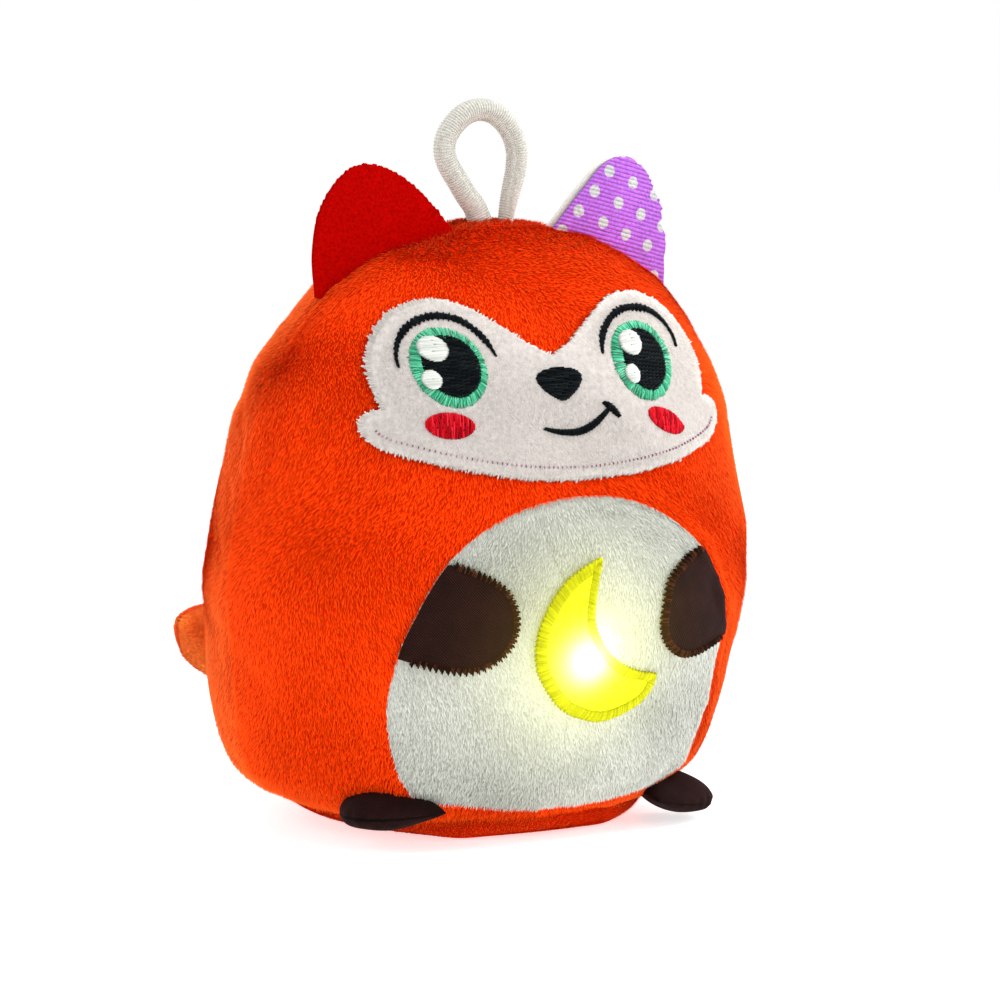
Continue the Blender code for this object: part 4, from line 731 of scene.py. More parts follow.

# The back is one panel of the same minky, from the side seam round the back to the base seam, in a lighter
# copy of its colours as painted light.
back_points = on_toy(panel_between(back_core, back_edge, back_count, 0.5), ground_sunk)
panel("back_minky", "back_panel", back_points, len(back_edge), back_count, back_ground_painted_light)
back_pile = grow_pile(
    "back_pile", back_points, rings(len(back_edge), back_count), orange_back_painted_light, 6.5, 1.1, seed=5)

# What is sewn on the belly keeps its pile down: the two arms, each cut off by the belly's seam, and
# the moon.
def reach_from(middle, line, turns):
    """How far a closed line lies from a middle, towards each of the turns."""
    reaches = np.full(len(turns), 1.0)
    a, b = line - middle, np.roll(line, -1, 0) - middle
    for i, turn in enumerate(turns):
        c, s = math.cos(turn), math.sin(turn)
        above, beyond = a[:, 1] * c - a[:, 0] * s, b[:, 1] * c - b[:, 0] * s
        along, past = a[:, 0] * c + a[:, 1] * s, b[:, 0] * c + b[:, 1] * s
        crosses = (above <= 0) != (beyond <= 0)
        t = above[crosses] / (above[crosses] - beyond[crosses])
        at = along[crosses] + t * (past[crosses] - along[crosses])
        at = at[at > 0]
        if len(at):
            reaches[i] = at.min()
    return reaches


def meeting(middle, lines, count, trims):
    """The line round the area that all the lines share, as seen from its middle."""
    turns = np.linspace(0, math.tau, count, endpoint=False)
    far = np.min([reach_from(middle, line, turns) - cut for line, cut in zip(lines, trims)], 0)
    return middle + np.stack([far * np.cos(turns), far * np.sin(turns)], 1)


arm_reach, arm_half_width, arm_middle_z, arm_tip_x = 0.026, 0.0127, 0.0575, 0.0195
arm_shares = [
    (0.0, -0.20), (0.03, 0.18), (0.10, 0.45), (0.24, 0.66), (0.42, 0.84), (0.63, 1.0), (1.05, 1.22),
    (1.05, -0.72), (0.70, -0.90), (0.50, -0.99), (0.31, -0.98), (0.15, -0.82), (0.04, -0.55),
]
arm_lines, arm_middles = {}, {}
for side, sign in (("left", 1), ("right", -1)):
    arm_shape = curve_through([
        (sign * (arm_tip_x + u * arm_reach), arm_middle_z + v * arm_half_width) for u, v in arm_shares
    ], (6, 7))
    arm_middles[side] = np.array((sign * (arm_tip_x + 0.42 * arm_reach), arm_middle_z - 0.001))
    arm_lines[side] = meeting(arm_middles[side], (arm_shape, belly_line), 160, (0, 0.0003))

moon_half_width, moon_half_height, moon_middle = 0.0168, 0.0192, np.array((0.0026, 0.0502))
moon_shares = [
    (-0.03, 1.0), (-0.31, 0.90), (-0.57, 0.75), (-0.80, 0.53), (-0.95, 0.29), (-1.0, 0.0),
    (-0.95, -0.28), (-0.77, -0.52), (-0.53, -0.75), (-0.20, -0.91), (0.15, -1.0), (0.52, -0.96),
    (0.83, -0.84), (0.98, -0.65), (1.0, -0.49), (0.64, -0.41), (0.31, -0.29), (0.07, -0.13),
    (-0.11, 0.08), (-0.20, 0.31), (-0.16, 0.56), (-0.07, 0.86),
]
moon_line = curve_through([
    (moon_middle[0] + u * moon_half_width, moon_middle[1] + v * moon_half_height) for u, v in moon_shares
], (0, 14))


def clear_of_patches(points):
    x, z = points[:, 0], points[:, 2]
    return ~(within_line(x, z, arm_lines["left"]) | within_line(x, z, arm_lines["right"])
             | within_line(x, z, moon_line)) * 1.0


# The belly panel is white minky of the same kind, sewn in along the belly seam. The lamp behind it
# shines through the moon, and more faintly through the cloth round it.
lamp_spot = (-0.0010, -0.0575, 0.0462)


def lit_from_behind(cloth, tint, core, halo, reach, hottest=0.0042):
    """Light that comes through the cloth round the lamp: a white core and a wide soft halo."""
    at = cloth.node("Mapping", Vector=cloth.place(), Location=tuple(-v for v in lamp_spot)).outputs[0]
    away = cloth.node("VectorMath", {"operation": "LENGTH"}, i0=at).outputs["Value"]

    def bell(width, power):
        """1 at the lamp, falling off softly with the distance from it."""
        return cloth.math("EXPONENT", cloth.math(
            "MULTIPLY", cloth.math("POWER", cloth.math("DIVIDE", away, width), power), -1.0))

    near, wide = bell(hottest, 2.0), bell(reach, 1.8)
    round_it = cloth.math("MULTIPLY", wide, halo)
    cloth.feed("Emission Strength", cloth.math("MULTIPLY_ADD", near, core, round_it))
    cloth.feed("Emission Color", cloth.blend(near, tint, (1.0, 1.0, 0.86)))


white_plush = plush(
    "white_minky", (0.36, 0.375, 0.33), (0.53, 0.55, 0.495), (0.68, 0.69, 0.63), (0.8, 0.8, 0.78), 0.15)
white_ground = ground("white_minky_ground", (0.52, 0.52, 0.47))
# Emission: light from the lamp that comes through the cloth, with a painted glow for the glare round the
# moon.
for cloth in (white_plush, white_ground):
    lit_from_behind(cloth, (0.95, 0.97, 0.34), 0.9, 0.72, 0.0185, 0.0075)
belly_points = on_toy(panel_between(belly_core, belly_edge, belly_count, 0.4), ground_sunk)
panel("belly_minky", "belly_panel", belly_points, len(belly_edge), belly_count, white_ground)
belly_pile = grow_pile(
    "belly_pile", belly_points, rings(len(belly_edge), belly_count), white_plush, 9.0, 1.0, seed=7,
    bare=clear_of_patches)

# Underneath, an orange panel closes the body round the mouth of the light's pouch. It is bare where
# the toy stands on it.
flap_half_width, flap_front, flap_back, flap_corner = 0.0197, -0.0272, -0.0046, 0.004
flap_room, pouch_forward = 0.0006, 0.0159


def rounded_box(half_width, front, back, corner, count):
    """A rounded rectangle in the plane of the floor."""
    middle = (front + back) / 2
    half_depth = (back - front) / 2
    out = []
    for turn in np.linspace(0, math.tau, count, endpoint=False) + 0.01:
        c, s = math.cos(turn), math.sin(turn)
        straight = min(half_width / max(abs(c), 1e-9), half_depth / max(abs(s), 1e-9))
        x, y = straight * c, straight * s
        over = Vector((abs(x) - half_width + corner, abs(y) - half_depth + corner))
        if over.x > 0 and over.y > 0:
            over = over.normalized() * corner
            x = math.copysign(half_width - corner + over.x, x)
            y = math.copysign(half_depth - corner + over.y, y)
        out.append((x, middle + y))
    return np.array(out)


mouth_of_pouch = rounded_box(
    flap_half_width + flap_room, flap_front - flap_room, flap_back + flap_room, flap_corner, len(base_loop))
hole_turns = np.arctan2(mouth_of_pouch[:, 1] + pouch_forward, mouth_of_pouch[:, 0])
loop_turns = np.arctan2(base_loop[:, 1] + pouch_forward, base_loop[:, 0])
order = np.argsort(hole_turns)
hole_reach = np.interp(
    loop_turns, hole_turns[order],
    np.hypot(mouth_of_pouch[order, 0], mouth_of_pouch[order, 1] + pouch_forward), period=math.tau)
hole_edge = np.stack([
    hole_reach * np.cos(loop_turns), hole_reach * np.sin(loop_turns) - pouch_forward,
    np.full(len(base_loop), 0.0004)], 1)
base_form = panel_between(hole_edge, base_loop, base_count, 0.4)
out_there = np.repeat(np.linspace(0, 1, base_count), len(base_loop))
base_form[:, 2] = 0.0003 + (np.tile(base_loop[:, 2], base_count) - 0.0003) * out_there ** 2.6
base_points = on_toy(base_form, ground_sunk)
to_seam = np.clip((np.repeat(np.arange(base_count), len(base_loop)) - 22) / 7, 0, 1)[:, None] ** 2
base_points = base_form * (1 - to_seam) + base_points * to_seam
base_points[:, 2] = np.maximum(base_points[:, 2], 0.0002)
panel("base_minky", "base_panel", base_points, len(base_loop), base_count, orange_ground_painted_shade)
base_pile = grow_pile(
    "base_pile", base_points, rings(len(base_loop), base_count), orange_plush, 7.0, 0.9, seed=9, lean=3.0,
    flow=(0, 0, 1.0), bare=lambda p: np.clip((p[:, 2] - 0.0006) / 0.0006, 0.0, 1.0))

# The tail is a curved, pointed roll of the same plush, in a lighter copy of its colours as painted light,
# stuffed as full as the feet. It lies behind the toy and is sewn to the back at its root.
tail_root, tail_radius, tail_length = np.array((-0.004, 0.0525, 0.025)), 0.0095, 0.049
tail_shares = [
    (0.10, -0.12, 0.0, 0.70), (0.0, 0.0, 0.0, 0.75), (-0.30, 0.24, 0.08, 0.95), (-0.60, 0.27, 0.18, 1.0),
    (-0.80, 0.20, 0.27, 0.92), (-0.92, 0.13, 0.335, 0.63), (-1.0, 0.08, 0.385, 0.25),
]
tail_path = curve_through([
    (*tail_root + tail_length * np.array(s[:3]), s[3] * tail_radius) for s in tail_shares
], steps=9, closed=False)
tail_round = 44


def swept(path, around, section, up=(0, 0, 1.0)):
    """Rings of points round a path. section turns an angle and a distance along into two shares."""
    places = path[:, :3]
    ahead = np.gradient(places, axis=0)
    ahead /= np.linalg.norm(ahead, axis=1)[:, None]
    side = np.cross(ahead, up)
    side /= np.linalg.norm(side, axis=1)[:, None]
    above = np.cross(side, ahead)
    turns = np.linspace(0, math.tau, around, endpoint=False)
    rows = []
    for i, place in enumerate(places):
        across, over = section(turns, i / (len(path) - 1))
        rows.append(place + path[i, 3] * (across[:, None] * side[i] + over[:, None] * above[i]))
    return np.concatenate(rows)


def closed_tube(around, rows):
    """The faces of a tube, and a fan over each end round the two points that follow the tube's own."""
    count = around * rows
    faces = rings(around, rows) + [(count, (i + 1) % around, i) for i in range(around)]
    return faces + [(count + 1, count - around + i, count - around + (i + 1) % around) for i in range(around)]


def tail_section(turns, along):
    groove = 1 - 0.10 * np.exp(-(np.sin(turns / 2 + 0.3) / 0.12) ** 2)
    lump = 1 + 0.03 * np.sin(3 * turns + 9 * along) * math.sin(7 * along)
    return groove * lump * np.cos(turns), groove * lump * np.sin(turns)


tail_points = np.concatenate([
    swept(tail_path, tail_round, tail_section), [tail_path[0, :3]],
    [tail_path[-1, :3] + (-0.0012, -0.0005, 0.0003)]])
tail = new_piece("tail_minky", tail_points, closed_tube(tail_round, len(tail_path)), tail_ground_painted_light)
near = np.argmin(np.linalg.norm(tail_points[:, None] - tail_path[None, :, :3], axis=2), 1)
round_tail = tail_points - tail_path[near, :3]
round_tail[-1] = tail_path[-1, :3] - tail_path[-3, :3]
round_tail[-2] = (0, -1.0, 0)
round_tail /= np.linalg.norm(round_tail, axis=1)[:, None]
outward_faces(tail)
tail_pile = grow_pile("tail_pile", tail_points, [tuple(f.vertices) for f in tail.data.polygons], orange_tail_painted_light,
                      7.0, 1.0, seed=11, flow=(-0.9, 0.1, 0.2), outward=round_tail,
                      bare=lambda p: (p[:, 0] < 0.002) * 1.0)
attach(tail, "root")
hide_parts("tail")

# The face mask is a flat patch of short white plush, laid on the front and held down by a satin edge.
# The eyes, the nose, the mouth and the cheeks are sewn on it.
white_felt = plush(
    "short_white_minky", (0.48, 0.435, 0.405), (0.61, 0.56, 0.525), (0.70, 0.65, 0.61), (0.8, 0.75, 0.73),
    0.15)
felt_ground = ground("short_white_minky_ground", (0.54, 0.50, 0.47))
mask_middle = np.array((face_x, 0.1003))


def patch(name, line, middle, rows, finish, low, high, hem=0.0004):
    """A cloth patch laid on the front: rows from its middle to its edge, where it turns down."""
    shares = np.linspace(0.004, 1, rows) ** 0.9
    flat = np.concatenate([middle + (line - middle) * s for s in shares])
    rise = np.repeat(np.where(shares < 0.985, high, high - hem), len(line))
    points = on_toy(front_of_body(flat[:, 0], flat[:, 1]), rise)
    made = new_piece(name, points, rings(len(line), rows), finish)
    facing_out(made)
    weave = np.stack([np.arctan2(points[:, 0], -points[:, 1]) * 0.058, points[:, 2], 0 * rise], 1)
    store(made.data, "weave", weave)
    lined(made, high - low - hem)
    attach(made, "root")
    return made


mask = patch("mask_minky", mask_line, mask_middle, 40, felt_ground, 0.0003, 0.0014)
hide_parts("face_mask")


# Embroidery: rows of separate threads, each a low half-round stitch that dives into the cloth at both
# its ends.
def threads(name, stitches, finish, width, low, rise, steps=(0, 0.1, 0.5, 0.9, 1)):
    """Stitches from (x, z) to (x, z) on the toy's front. Each may bring its own width as a fifth number."""
    stitches = np.array(stitches)
    widths = stitches[:, 4] if stitches.shape[1] > 4 else np.full(len(stitches), width)
    start, end = stitches[:, :2], stitches[:, 2:4]
    way = end - start
    way /= np.linalg.norm(way, axis=1)[:, None] + 1e-12
    across = np.stack([-way[:, 1], way[:, 0]], 1)
    section = [(-0.5, 0.0), (-0.36, 0.72), (0.0, 1.0), (0.36, 0.72), (0.5, 0.0)]
    swell = {0: 0.0, 1: 0.0}
    flat, lift = [], []
    for t in steps:
        at = start + (end - start) * t
        tall = swell.get(t, 1.0 if 0.3 < t < 0.7 else 0.82)
        for u, v in section:
            flat.append(at + across * (u * widths * (1.0 if tall else 0.35))[:, None])
            lift.append(np.full(len(at), low + rise * v * tall))
    flat, lift = np.array(flat).transpose(1, 0, 2).reshape(-1, 2), np.array(lift).T.reshape(-1)
    points = on_toy(front_of_body(flat[:, 0], flat[:, 1]), lift)
    per, faces = len(steps) * 5, []
    one = []
    for row in range(len(steps) - 1):
        for i in range(5):
            a, b = row * 5 + i, row * 5 + (i + 1) % 5
            one.append((a, b, b + 5, a + 5))
    one += [(4, 3, 2, 1, 0), tuple(range(per - 5, per))]
    for i in range(len(stitches)):
        faces += [tuple(i * per + j for j in face) for face in one]
    made = new_piece(name, points, faces, finish)
    chance = np.repeat(np.random.default_rng(len(stitches)).uniform(0, 1, len(stitches)), per)
    store(made.data, "chance", chance)
    store(made.data, "along", np.tile(np.repeat(steps, 5), len(stitches)))
    outward_faces(made)
    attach(made, "root")
    return made


def thread_finish(name, dark, mid, light, gloss):
    """Shiny embroidery thread: each stitch a little darker or lighter, with painted shade where it dives in.
    """
    thread = Finish(name, Roughness=gloss, Specular_IOR_Level=0.25 if mid[1] > 0.1 else 0.04)
    shade = thread.ramp(thread.attribute("chance").outputs["Fac"], (0.0, dark), (0.5, mid), (1.0, light))
    ends = thread.attribute("along").outputs["Fac"]
    from_middle = thread.math("ABSOLUTE", thread.math("MULTIPLY_ADD", ends, 2.0, -1.0))
    # Painted shade: each stitch darkens towards the ends where it dives into the cloth.
    dive_shade = thread.ramp(thread.math("SUBTRACT", 1.0, from_middle), (0.0, 0.55), (0.3, 1.0))
    thread.feed("Base Color", thread.blend(1.0, shade, dive_shade, "MULTIPLY"))
    thread.bump(thread.noise(2500.0, 1.0), 0.0001, 0.4)
    return thread


def evenly(line, pitch=None, count=None, closed=True):
    """Points along a line at an even distance, and the direction that the line takes at each."""
    line = np.concatenate([line, line[:1]]) if closed else line
    gone = np.concatenate([[0], np.cumsum(np.hypot(*np.diff(line, axis=0).T))])
    count = count or max(2, int(round(gone[-1] / pitch)))
    at = np.linspace(0, gone[-1], count, endpoint=not closed)
    points = np.stack([np.interp(at, gone, line[:, 0]), np.interp(at, gone, line[:, 1])], 1)
    ahead = np.stack([
        np.interp(at + 2e-4, gone, line[:, 0]) - np.interp(at - 2e-4, gone, line[:, 0]),
        np.interp(at + 2e-4, gone, line[:, 1]) - np.interp(at - 2e-4, gone, line[:, 1])], 1)
    return points, ahead / (np.linalg.norm(ahead, axis=1)[:, None] + 1e-12)


def oval(middle, half_width, half_height, count=96):
    turns = np.linspace(0, math.tau, count, endpoint=False)
    return np.array(middle) + np.stack([half_width * np.cos(turns), half_height * np.sin(turns)], 1)


def filled(line, pitch, long, turn, seed=1):
    """Rows of stitches that fill a closed line, each row's needle holes set off from the next one's."""
    dice = np.random.default_rng(seed)
    c, s = math.cos(turn), math.sin(turn)
    spun = np.stack([line[:, 0] * c + line[:, 1] * s, -line[:, 0] * s + line[:, 1] * c], 1)
    out = []
    for row, height in enumerate(np.arange(spun[:, 1].min() + pitch * 0.4, spun[:, 1].max(), pitch)):
        a, b = spun, np.roll(spun, -1, 0)
        crosses = (a[:, 1] > height) != (b[:, 1] > height)
        t = (height - a[crosses, 1]) / (b[crosses, 1] - a[crosses, 1])
        at = np.sort(a[crosses, 0] + t * (b[crosses, 0] - a[crosses, 0]))
        for left, right in zip(at[::2], at[1::2]):
            cuts = np.arange(left - long * ((row * 0.37) % 1), right, long)[1:]
            cuts = [left, *cuts[(cuts > left + long * 0.3) & (cuts < right - long * 0.3)], right]
            for u, v in zip(cuts, cuts[1:]):
                y1, y2 = height + dice.normal(0, pitch * 0.07, 2)
                u, v = u - 0.00012, v + 0.00012
                out.append((u * c - y1 * s, u * s + y1 * c, v * c - y2 * s, v * s + y2 * c))
    return out


green_thread = thread_finish(
    "green_thread", (0.006, 0.15, 0.075), (0.03, 0.40, 0.20), (0.20, 0.74, 0.48), 0.3)
black_thread = thread_finish(
    "black_thread", (0.002, 0.003, 0.004), (0.004, 0.006, 0.007), (0.010, 0.014, 0.015), 0.6)
white_thread = thread_finish("white_thread", (0.52, 0.54, 0.50), (0.63, 0.65, 0.61), (0.72, 0.74, 0.70), 0.7)
red_thread = thread_finish("red_thread", (0.22, 0.001, 0.005), (0.50, 0.003, 0.010), (0.80, 0.02, 0.04), 0.5)

eye_x, eye_z = 0.0258, 0.11394
eyes = {
    1: oval((face_x + 0.0244, eye_z - 0.0003), 0.0091, 0.0092),
    -1: oval((face_x - eye_x, eye_z), 0.0084, 0.0093)}
brows = {
    1: [(-0.88, 0.17), (-0.84, 0.42), (-0.68, 0.68), (-0.40, 0.88), (-0.06, 0.96), (0.26, 0.95), (0.56, 0.83),
        (0.82, 0.60), (0.97, 0.36), (1.04, 0.14)],
    -1: [(-0.87, -0.02), (-0.86, 0.20), (-0.74, 0.50), (-0.50, 0.76), (-0.18, 0.92), (0.12, 0.955),
         (0.42, 0.88), (0.66, 0.68), (0.83, 0.42), (0.92, 0.18)]}
cheeks = {
    1: oval((face_x + 0.0278, 0.09970), 0.0056, 0.0026), -1: oval((face_x - 0.0281, 0.10080), 0.0053, 0.0029)}
lean = math.radians(24)
leaning = np.array(((math.cos(lean), -math.sin(lean)), (math.sin(lean), math.cos(lean))))
middle = cheeks[1].mean(0)
cheeks[1] = middle + (cheeks[1] - middle) @ leaning
stitched = {}


def sew(name, stitches, thread, width, low, rise):
    stitched[name] = threads(f"{name}_threads", stitches, thread, width, low, rise)


for side, sign in (("left", 1), ("right", -1)):
    eye = eyes[sign].mean(0)
    outer, _ = evenly(eyes[sign], count=330)
    seen_pupil = (eye[0] + 0.0006, eye[1] + 0.0002)
    inner, _ = evenly(oval(seen_pupil, 0.0060, 0.0067), count=330)
    dice = np.random.default_rng(21 + sign)
    outer, inner = outer + dice.normal(0, 0.00013, outer.shape), inner + dice.normal(0, 0.00022, inner.shape)
    sew(f"{side}_iris", np.concatenate([outer, inner], 1), green_thread, 0.00026, 0.0013, 0.0006)
    pupil = filled(oval(seen_pupil, 0.0064, 0.0071), 0.00034, 0.0026, 0.2, seed=5)
    sew(f"{side}_pupil", pupil, black_thread, 0.00040, 0.0014, 0.00065)
    for size, aside, above, half_width, half_height, long in (
            ("large", -0.0026, 0.0041, 0.0034, 0.0029, 0.007),
            ("small", -0.0044, -0.0030, 0.0022, 0.0021, 0.006)):
        glint = filled(oval((eye[0] + aside, eye[1] + above), half_width, half_height), 0.00030, long, 0.1)
        sew(f"{side}_{size}_glint", glint, white_thread, 0.00040, 0.0018, 0.0007)
    brow_line = curve_through([
        (face_x + sign * (eye_x - 0.0122 * u), eye_z + 0.0002 + 0.0122 * v) for u, v in brows[sign]
    ], closed=False)
    at, ahead = evenly(brow_line, 0.00030, closed=False)
    swelling, ending = np.linspace(0.35, 2.2, len(at)), np.linspace(6, 0.3, len(at))
    thin = 0.0008 * np.clip(swelling, 0, 1) * np.clip(ending, 0, 1)
    thin = thin * (1 + 0.22 * np.sin(np.arange(len(at)) * 1.6) + dice.normal(0, 0.12, len(at)))
    aside = np.stack([-ahead[:, 1], ahead[:, 0]], 1) * thin[:, None] + ahead * 0.0002
    sew(f"{side}_brow", np.concatenate([at - aside, at + aside], 1), black_thread, 0.00036, 0.0013, 0.0008)
    cheek = filled(cheeks[sign], 0.00034, 0.0035, math.radians(82), seed=8)
    sew(f"{side}_cheek", cheek, red_thread, 0.00040, 0.0013, 0.0008)

nose_line = curve_through([
    (face_x - 0.0002 + x * 0.0059, 0.10560 + z * 0.0073) for x, z in (
        (0, 1), (0.62, 0.96), (1, 0.72), (0.72, 0.32), (0, 0), (-0.72, 0.32), (-1, 0.72), (-0.62, 0.96))])
sew("nose", filled(nose_line, 0.00034, 0.006, 0.0), black_thread, 0.00042, 0.0013, 0.0009)

mouth_left, mouth_z, mouth_length = face_x - 0.0063, 0.0985, 0.0181
smile = curve_through([
    (mouth_left + u * mouth_length, mouth_z + v * mouth_length) for u, v in (
        (0, 0.06), (0.22, 0.01), (0.47, 0), (0.69, 0.07), (0.88, 0.185), (1, 0.28))], closed=False)
tick = curve_through([
    (mouth_left + u * mouth_length, mouth_z + v * mouth_length) for u, v in (
        (0.90, 0.33), (1, 0.27), (1.11, 0.15))], closed=False)
mouth_stitches = []
for line, half in ((smile, 0.0009), (tick, 0.00095)):
    at, ahead = evenly(line, 0.00030, closed=False)
    taper = np.sin(np.linspace(0.25, math.pi - 0.35, len(at))) ** 0.7
    ragged = (half * taper * (1 + 0.14 * np.sin(np.arange(len(at)) * 2.4)))[:, None]
    aside = np.stack([-ahead[:, 1], ahead[:, 0]], 1) * ragged + ahead * 0.0002
    mouth_stitches.append(np.concatenate([at - aside, at + aside], 1))
sew("mouth", np.concatenate(mouth_stitches), black_thread, 0.00036, 0.0013, 0.0008)
for name, made in stitched.items():
    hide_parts(name)


def clear_of_embroidery(points):
    x, z = points[:, 0], points[:, 2]
    sewn = within_line(x, z, nose_line)
    for sign in (1, -1):
        sewn |= within_line(x, z, eyes[sign]) | within_line(x, z, cheeks[sign])
    return ~(sewn | (far_from_line(x, z, mask_line[::2]) < 0.0013)) * 1.0


# A satin edge holds the mask down: fine white threads across its rim, with painted shade for their needle
# holes inside it, and ragged outer ends.
def away_from(middle, at, ahead):
    """The direction across a line, away from the middle, at each of its points."""
    outwards = np.stack([ahead[:, 1], -ahead[:, 0]], 1)
    return outwards * np.sign(((at - middle) * outwards).sum())


at, ahead = evenly(mask_line, 0.00027)
outwards = away_from(mask_middle, at, ahead)
dice = np.random.default_rng(41)
spike = np.abs(dice.normal(0, 0.00032, (len(at), 1))) + 0.00010 * np.sin(np.arange(len(at)) * 2.1)[:, None]
edge = np.concatenate([
    at + outwards * (0.0002 + spike) + ahead * 0.0001,
    at - outwards * (0.0017 + dice.normal(0, 0.00018, (len(at), 1))) - ahead * 0.0001], 1)
mask_thread = thread_finish("mask_thread", (0.50, 0.475, 0.44), (0.61, 0.585, 0.545), (0.72, 0.70, 0.66), 0.8)
mask_edge = threads("mask_edge_threads", edge, mask_thread, 0.00030, 0.0004, 0.0011)
at, ahead = evenly(mask_line, 0.00115)
outwards = away_from(mask_middle, at, ahead)
low_edge = (at[:, 1] < 0.0985) & (np.abs(outwards[:, 1]) > 0.3)
holes = np.concatenate([at - outwards * 0.0022, at - outwards * 0.0028], 1)[low_edge]
# Painted shade: small dark plum stitches stand for the shade in the needle holes along the lower edge.
needle_hole_shade = thread_finish("needle_hole", (0.16, 0.05, 0.09), (0.30, 0.14, 0.20), (0.45, 0.28, 0.33), 0.9)
threads("mask_needle_holes", holes, needle_hole_shade, 0.00026, 0.0013, 0.0006)

shares = np.linspace(0.004, 0.985, 44)
flat = np.concatenate([mask_middle + (mask_line - mask_middle) * s for s in shares])
mask_pile = grow_pile(
    "mask_pile", on_toy(front_of_body(flat[:, 0], flat[:, 1]), 0.0013), rings(len(mask_line), 44), white_felt,
    14.0, 0.6, seed=13, bare=clear_of_embroidery)

# The arms are patches of dark brown twill, laid on the belly with their outer ends in its seam. A zigzag
# of brown thread holds down the edge that shows.
twill = Finish("brown_twill", Roughness=0.9, Specular_IOR_Level=0.08)
on_twill = twill.node("SeparateXYZ", Vector=twill.attribute("weave").outputs["Vector"])
uneven = twill.math("MULTIPLY", twill.noise(300.0, 2.0), 0.0009)


def twill_lines(rise_share, pitch):
    """Fine raised lines across the cloth, at a slope."""
    along = twill.math("MULTIPLY_ADD", on_twill.outputs[1], rise_share, on_twill.outputs[0])
    return twill.wave(twill.math("ADD", along, uneven), pitch)


mesh_lines = twill.math("MULTIPLY", twill_lines(0.8, 0.00060), twill_lines(-1.1, 0.00052))
in_seam = twill.ramp(twill.attribute("seam").outputs["Fac"], (0.2, 1.0), (0.9, 0.12))
twill.feed("Base Color", twill.blend(1.0, in_seam, twill.blend(
    1.0, twill.ramp(mesh_lines, (0.1, (0.006, 0.0016, 0.0017)), (0.5, (0.019, 0.0048, 0.0042)),
                    (0.9, (0.070, 0.021, 0.014))),
    twill.ramp(twill.noise(180.0, 3.0), (0.3, 0.75), (0.7, 1.25)), "MULTIPLY"), "MULTIPLY"))
twill.bump(mesh_lines, 0.0002, 0.8)
# Painted glow: emission on the arms and their stitches stands in for the moon's light and glare falling on
# them.
lit_from_behind(twill, (0.30, 0.20, 0.03), 0.0, 0.30, 0.019)
brown_thread = thread_finish(
    "brown_thread", (0.007, 0.0025, 0.002), (0.018, 0.006, 0.004), (0.085, 0.028, 0.012), 0.8)
lit_from_behind(brown_thread, (0.55, 0.28, 0.06), 0.0, 0.35, 0.019)

for side, sign in (("left", 1), ("right", -1)):
    arm = patch(f"{side}_arm_twill", arm_lines[side], arm_middles[side], 30, twill, 0.0003, 0.0014)
    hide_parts(f"{side}_arm")
    at, ahead = evenly(arm_lines[side], 0.00042)
    shown = np.abs(at[:, 0]) < np.abs(arm_middles[side][0]) + 0.42 * arm_reach
    shown &= far_from_line(at[:, 0], at[:, 1], belly_line) > 0.0012
    outwards = np.stack([ahead[:, 1], -ahead[:, 0]], 1)
    zigzag = 0.0005 * (1 + np.sin(np.arange(len(at)) * math.tau / 3))[:, None] * outwards
    stitches = np.concatenate([at - outwards * 0.0009, at + outwards * 0.0002 + zigzag], 1)[shown]
    teeth = threads(f"{side}_arm_stitches", stitches, brown_thread, 0.00046, 0.0004, 0.0016)

# The moon is a smooth yellow patch with a wide satin edge that sews it to the belly. The lamp in the body
# lights it from behind.
yellow_cloth = Finish("yellow_cloth", Roughness=0.8, Specular_IOR_Level=0.05)
yellow_cloth.feed("Base Color", yellow_cloth.ramp(
    yellow_cloth.noise(900.0, 2.0), (0.3, (0.70, 0.72, 0.004)), (0.7, (0.82, 0.84, 0.022))))
yellow_cloth.bump(yellow_cloth.noise(1400.0, 2.0), 0.0001, 0.4)
lit_from_behind(yellow_cloth, (0.92, 0.95, 0.02), 1.5, 0.50, 0.0110, 0.0072)
yellow_thread = thread_finish(
    "yellow_thread", (0.50, 0.49, 0.0), (0.62, 0.63, 0.002), (0.72, 0.73, 0.005), 0.8)
lit_from_behind(yellow_thread, (0.90, 0.93, 0.02), 1.3, 0.14, 0.0110, 0.0066)

moon_columns, moon_rows, moon_cloth_thickness = 90, 22, 0.0009
outer_arc, _ = evenly(moon_line[:14 * 8 + 1], count=moon_columns, closed=False)
inner_arc, _ = evenly(
    np.concatenate([moon_line[14 * 8:], moon_line[:1]])[::-1], count=moon_columns, closed=False)
across = np.linspace(0, 1, moon_rows)
flat = np.concatenate([outer_arc * (1 - s) + inner_arc * s for s in across])
moon_edge = np.minimum(np.repeat(across, moon_columns), 1 - np.repeat(across, moon_columns))
moon_points = on_toy(front_of_body(flat[:, 0], flat[:, 1]), 0.0011 + 0.0003 * np.clip(moon_edge * 5, 0, 1))
moon = new_piece("moon_cloth", moon_points, rings(moon_columns, moon_rows, closed=False), yellow_cloth)
facing_out(moon)
lined(moon, moon_cloth_thickness)
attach(moon, "root")
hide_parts("moon_patch")
at, ahead = evenly(moon_line, 0.00028)
outwards = away_from(moon_middle + np.array((-0.006, -0.004)), at, ahead)
long = np.where(far_from_line(at[:, 0], at[:, 1], outer_arc) < 0.0003, 0.0025, 0.0018)
for _ in range(5):
    inside = at - outwards * long[:, None]
    fits = within_line(*inside.T, moon_line) & (far_from_line(*inside.T, moon_line) > 0.55 * long)
    long = np.where(fits, long, long * 0.72)
teeth = 0.00022 * (1 + np.sin(np.arange(len(at)) * math.tau / 4))[:, None]
ragged = np.random.default_rng(33).normal(0, 0.00006, (len(at), 1))
stitches = np.concatenate([
    at + outwards * (0.0002 + ragged + teeth) - ahead * 0.0003,
    at - outwards * (long[:, None] + ragged) + ahead * 0.0003], 1)
moon_satin = threads("moon_stitches", stitches, yellow_thread, 0.00038, 0.0010, 0.0009)

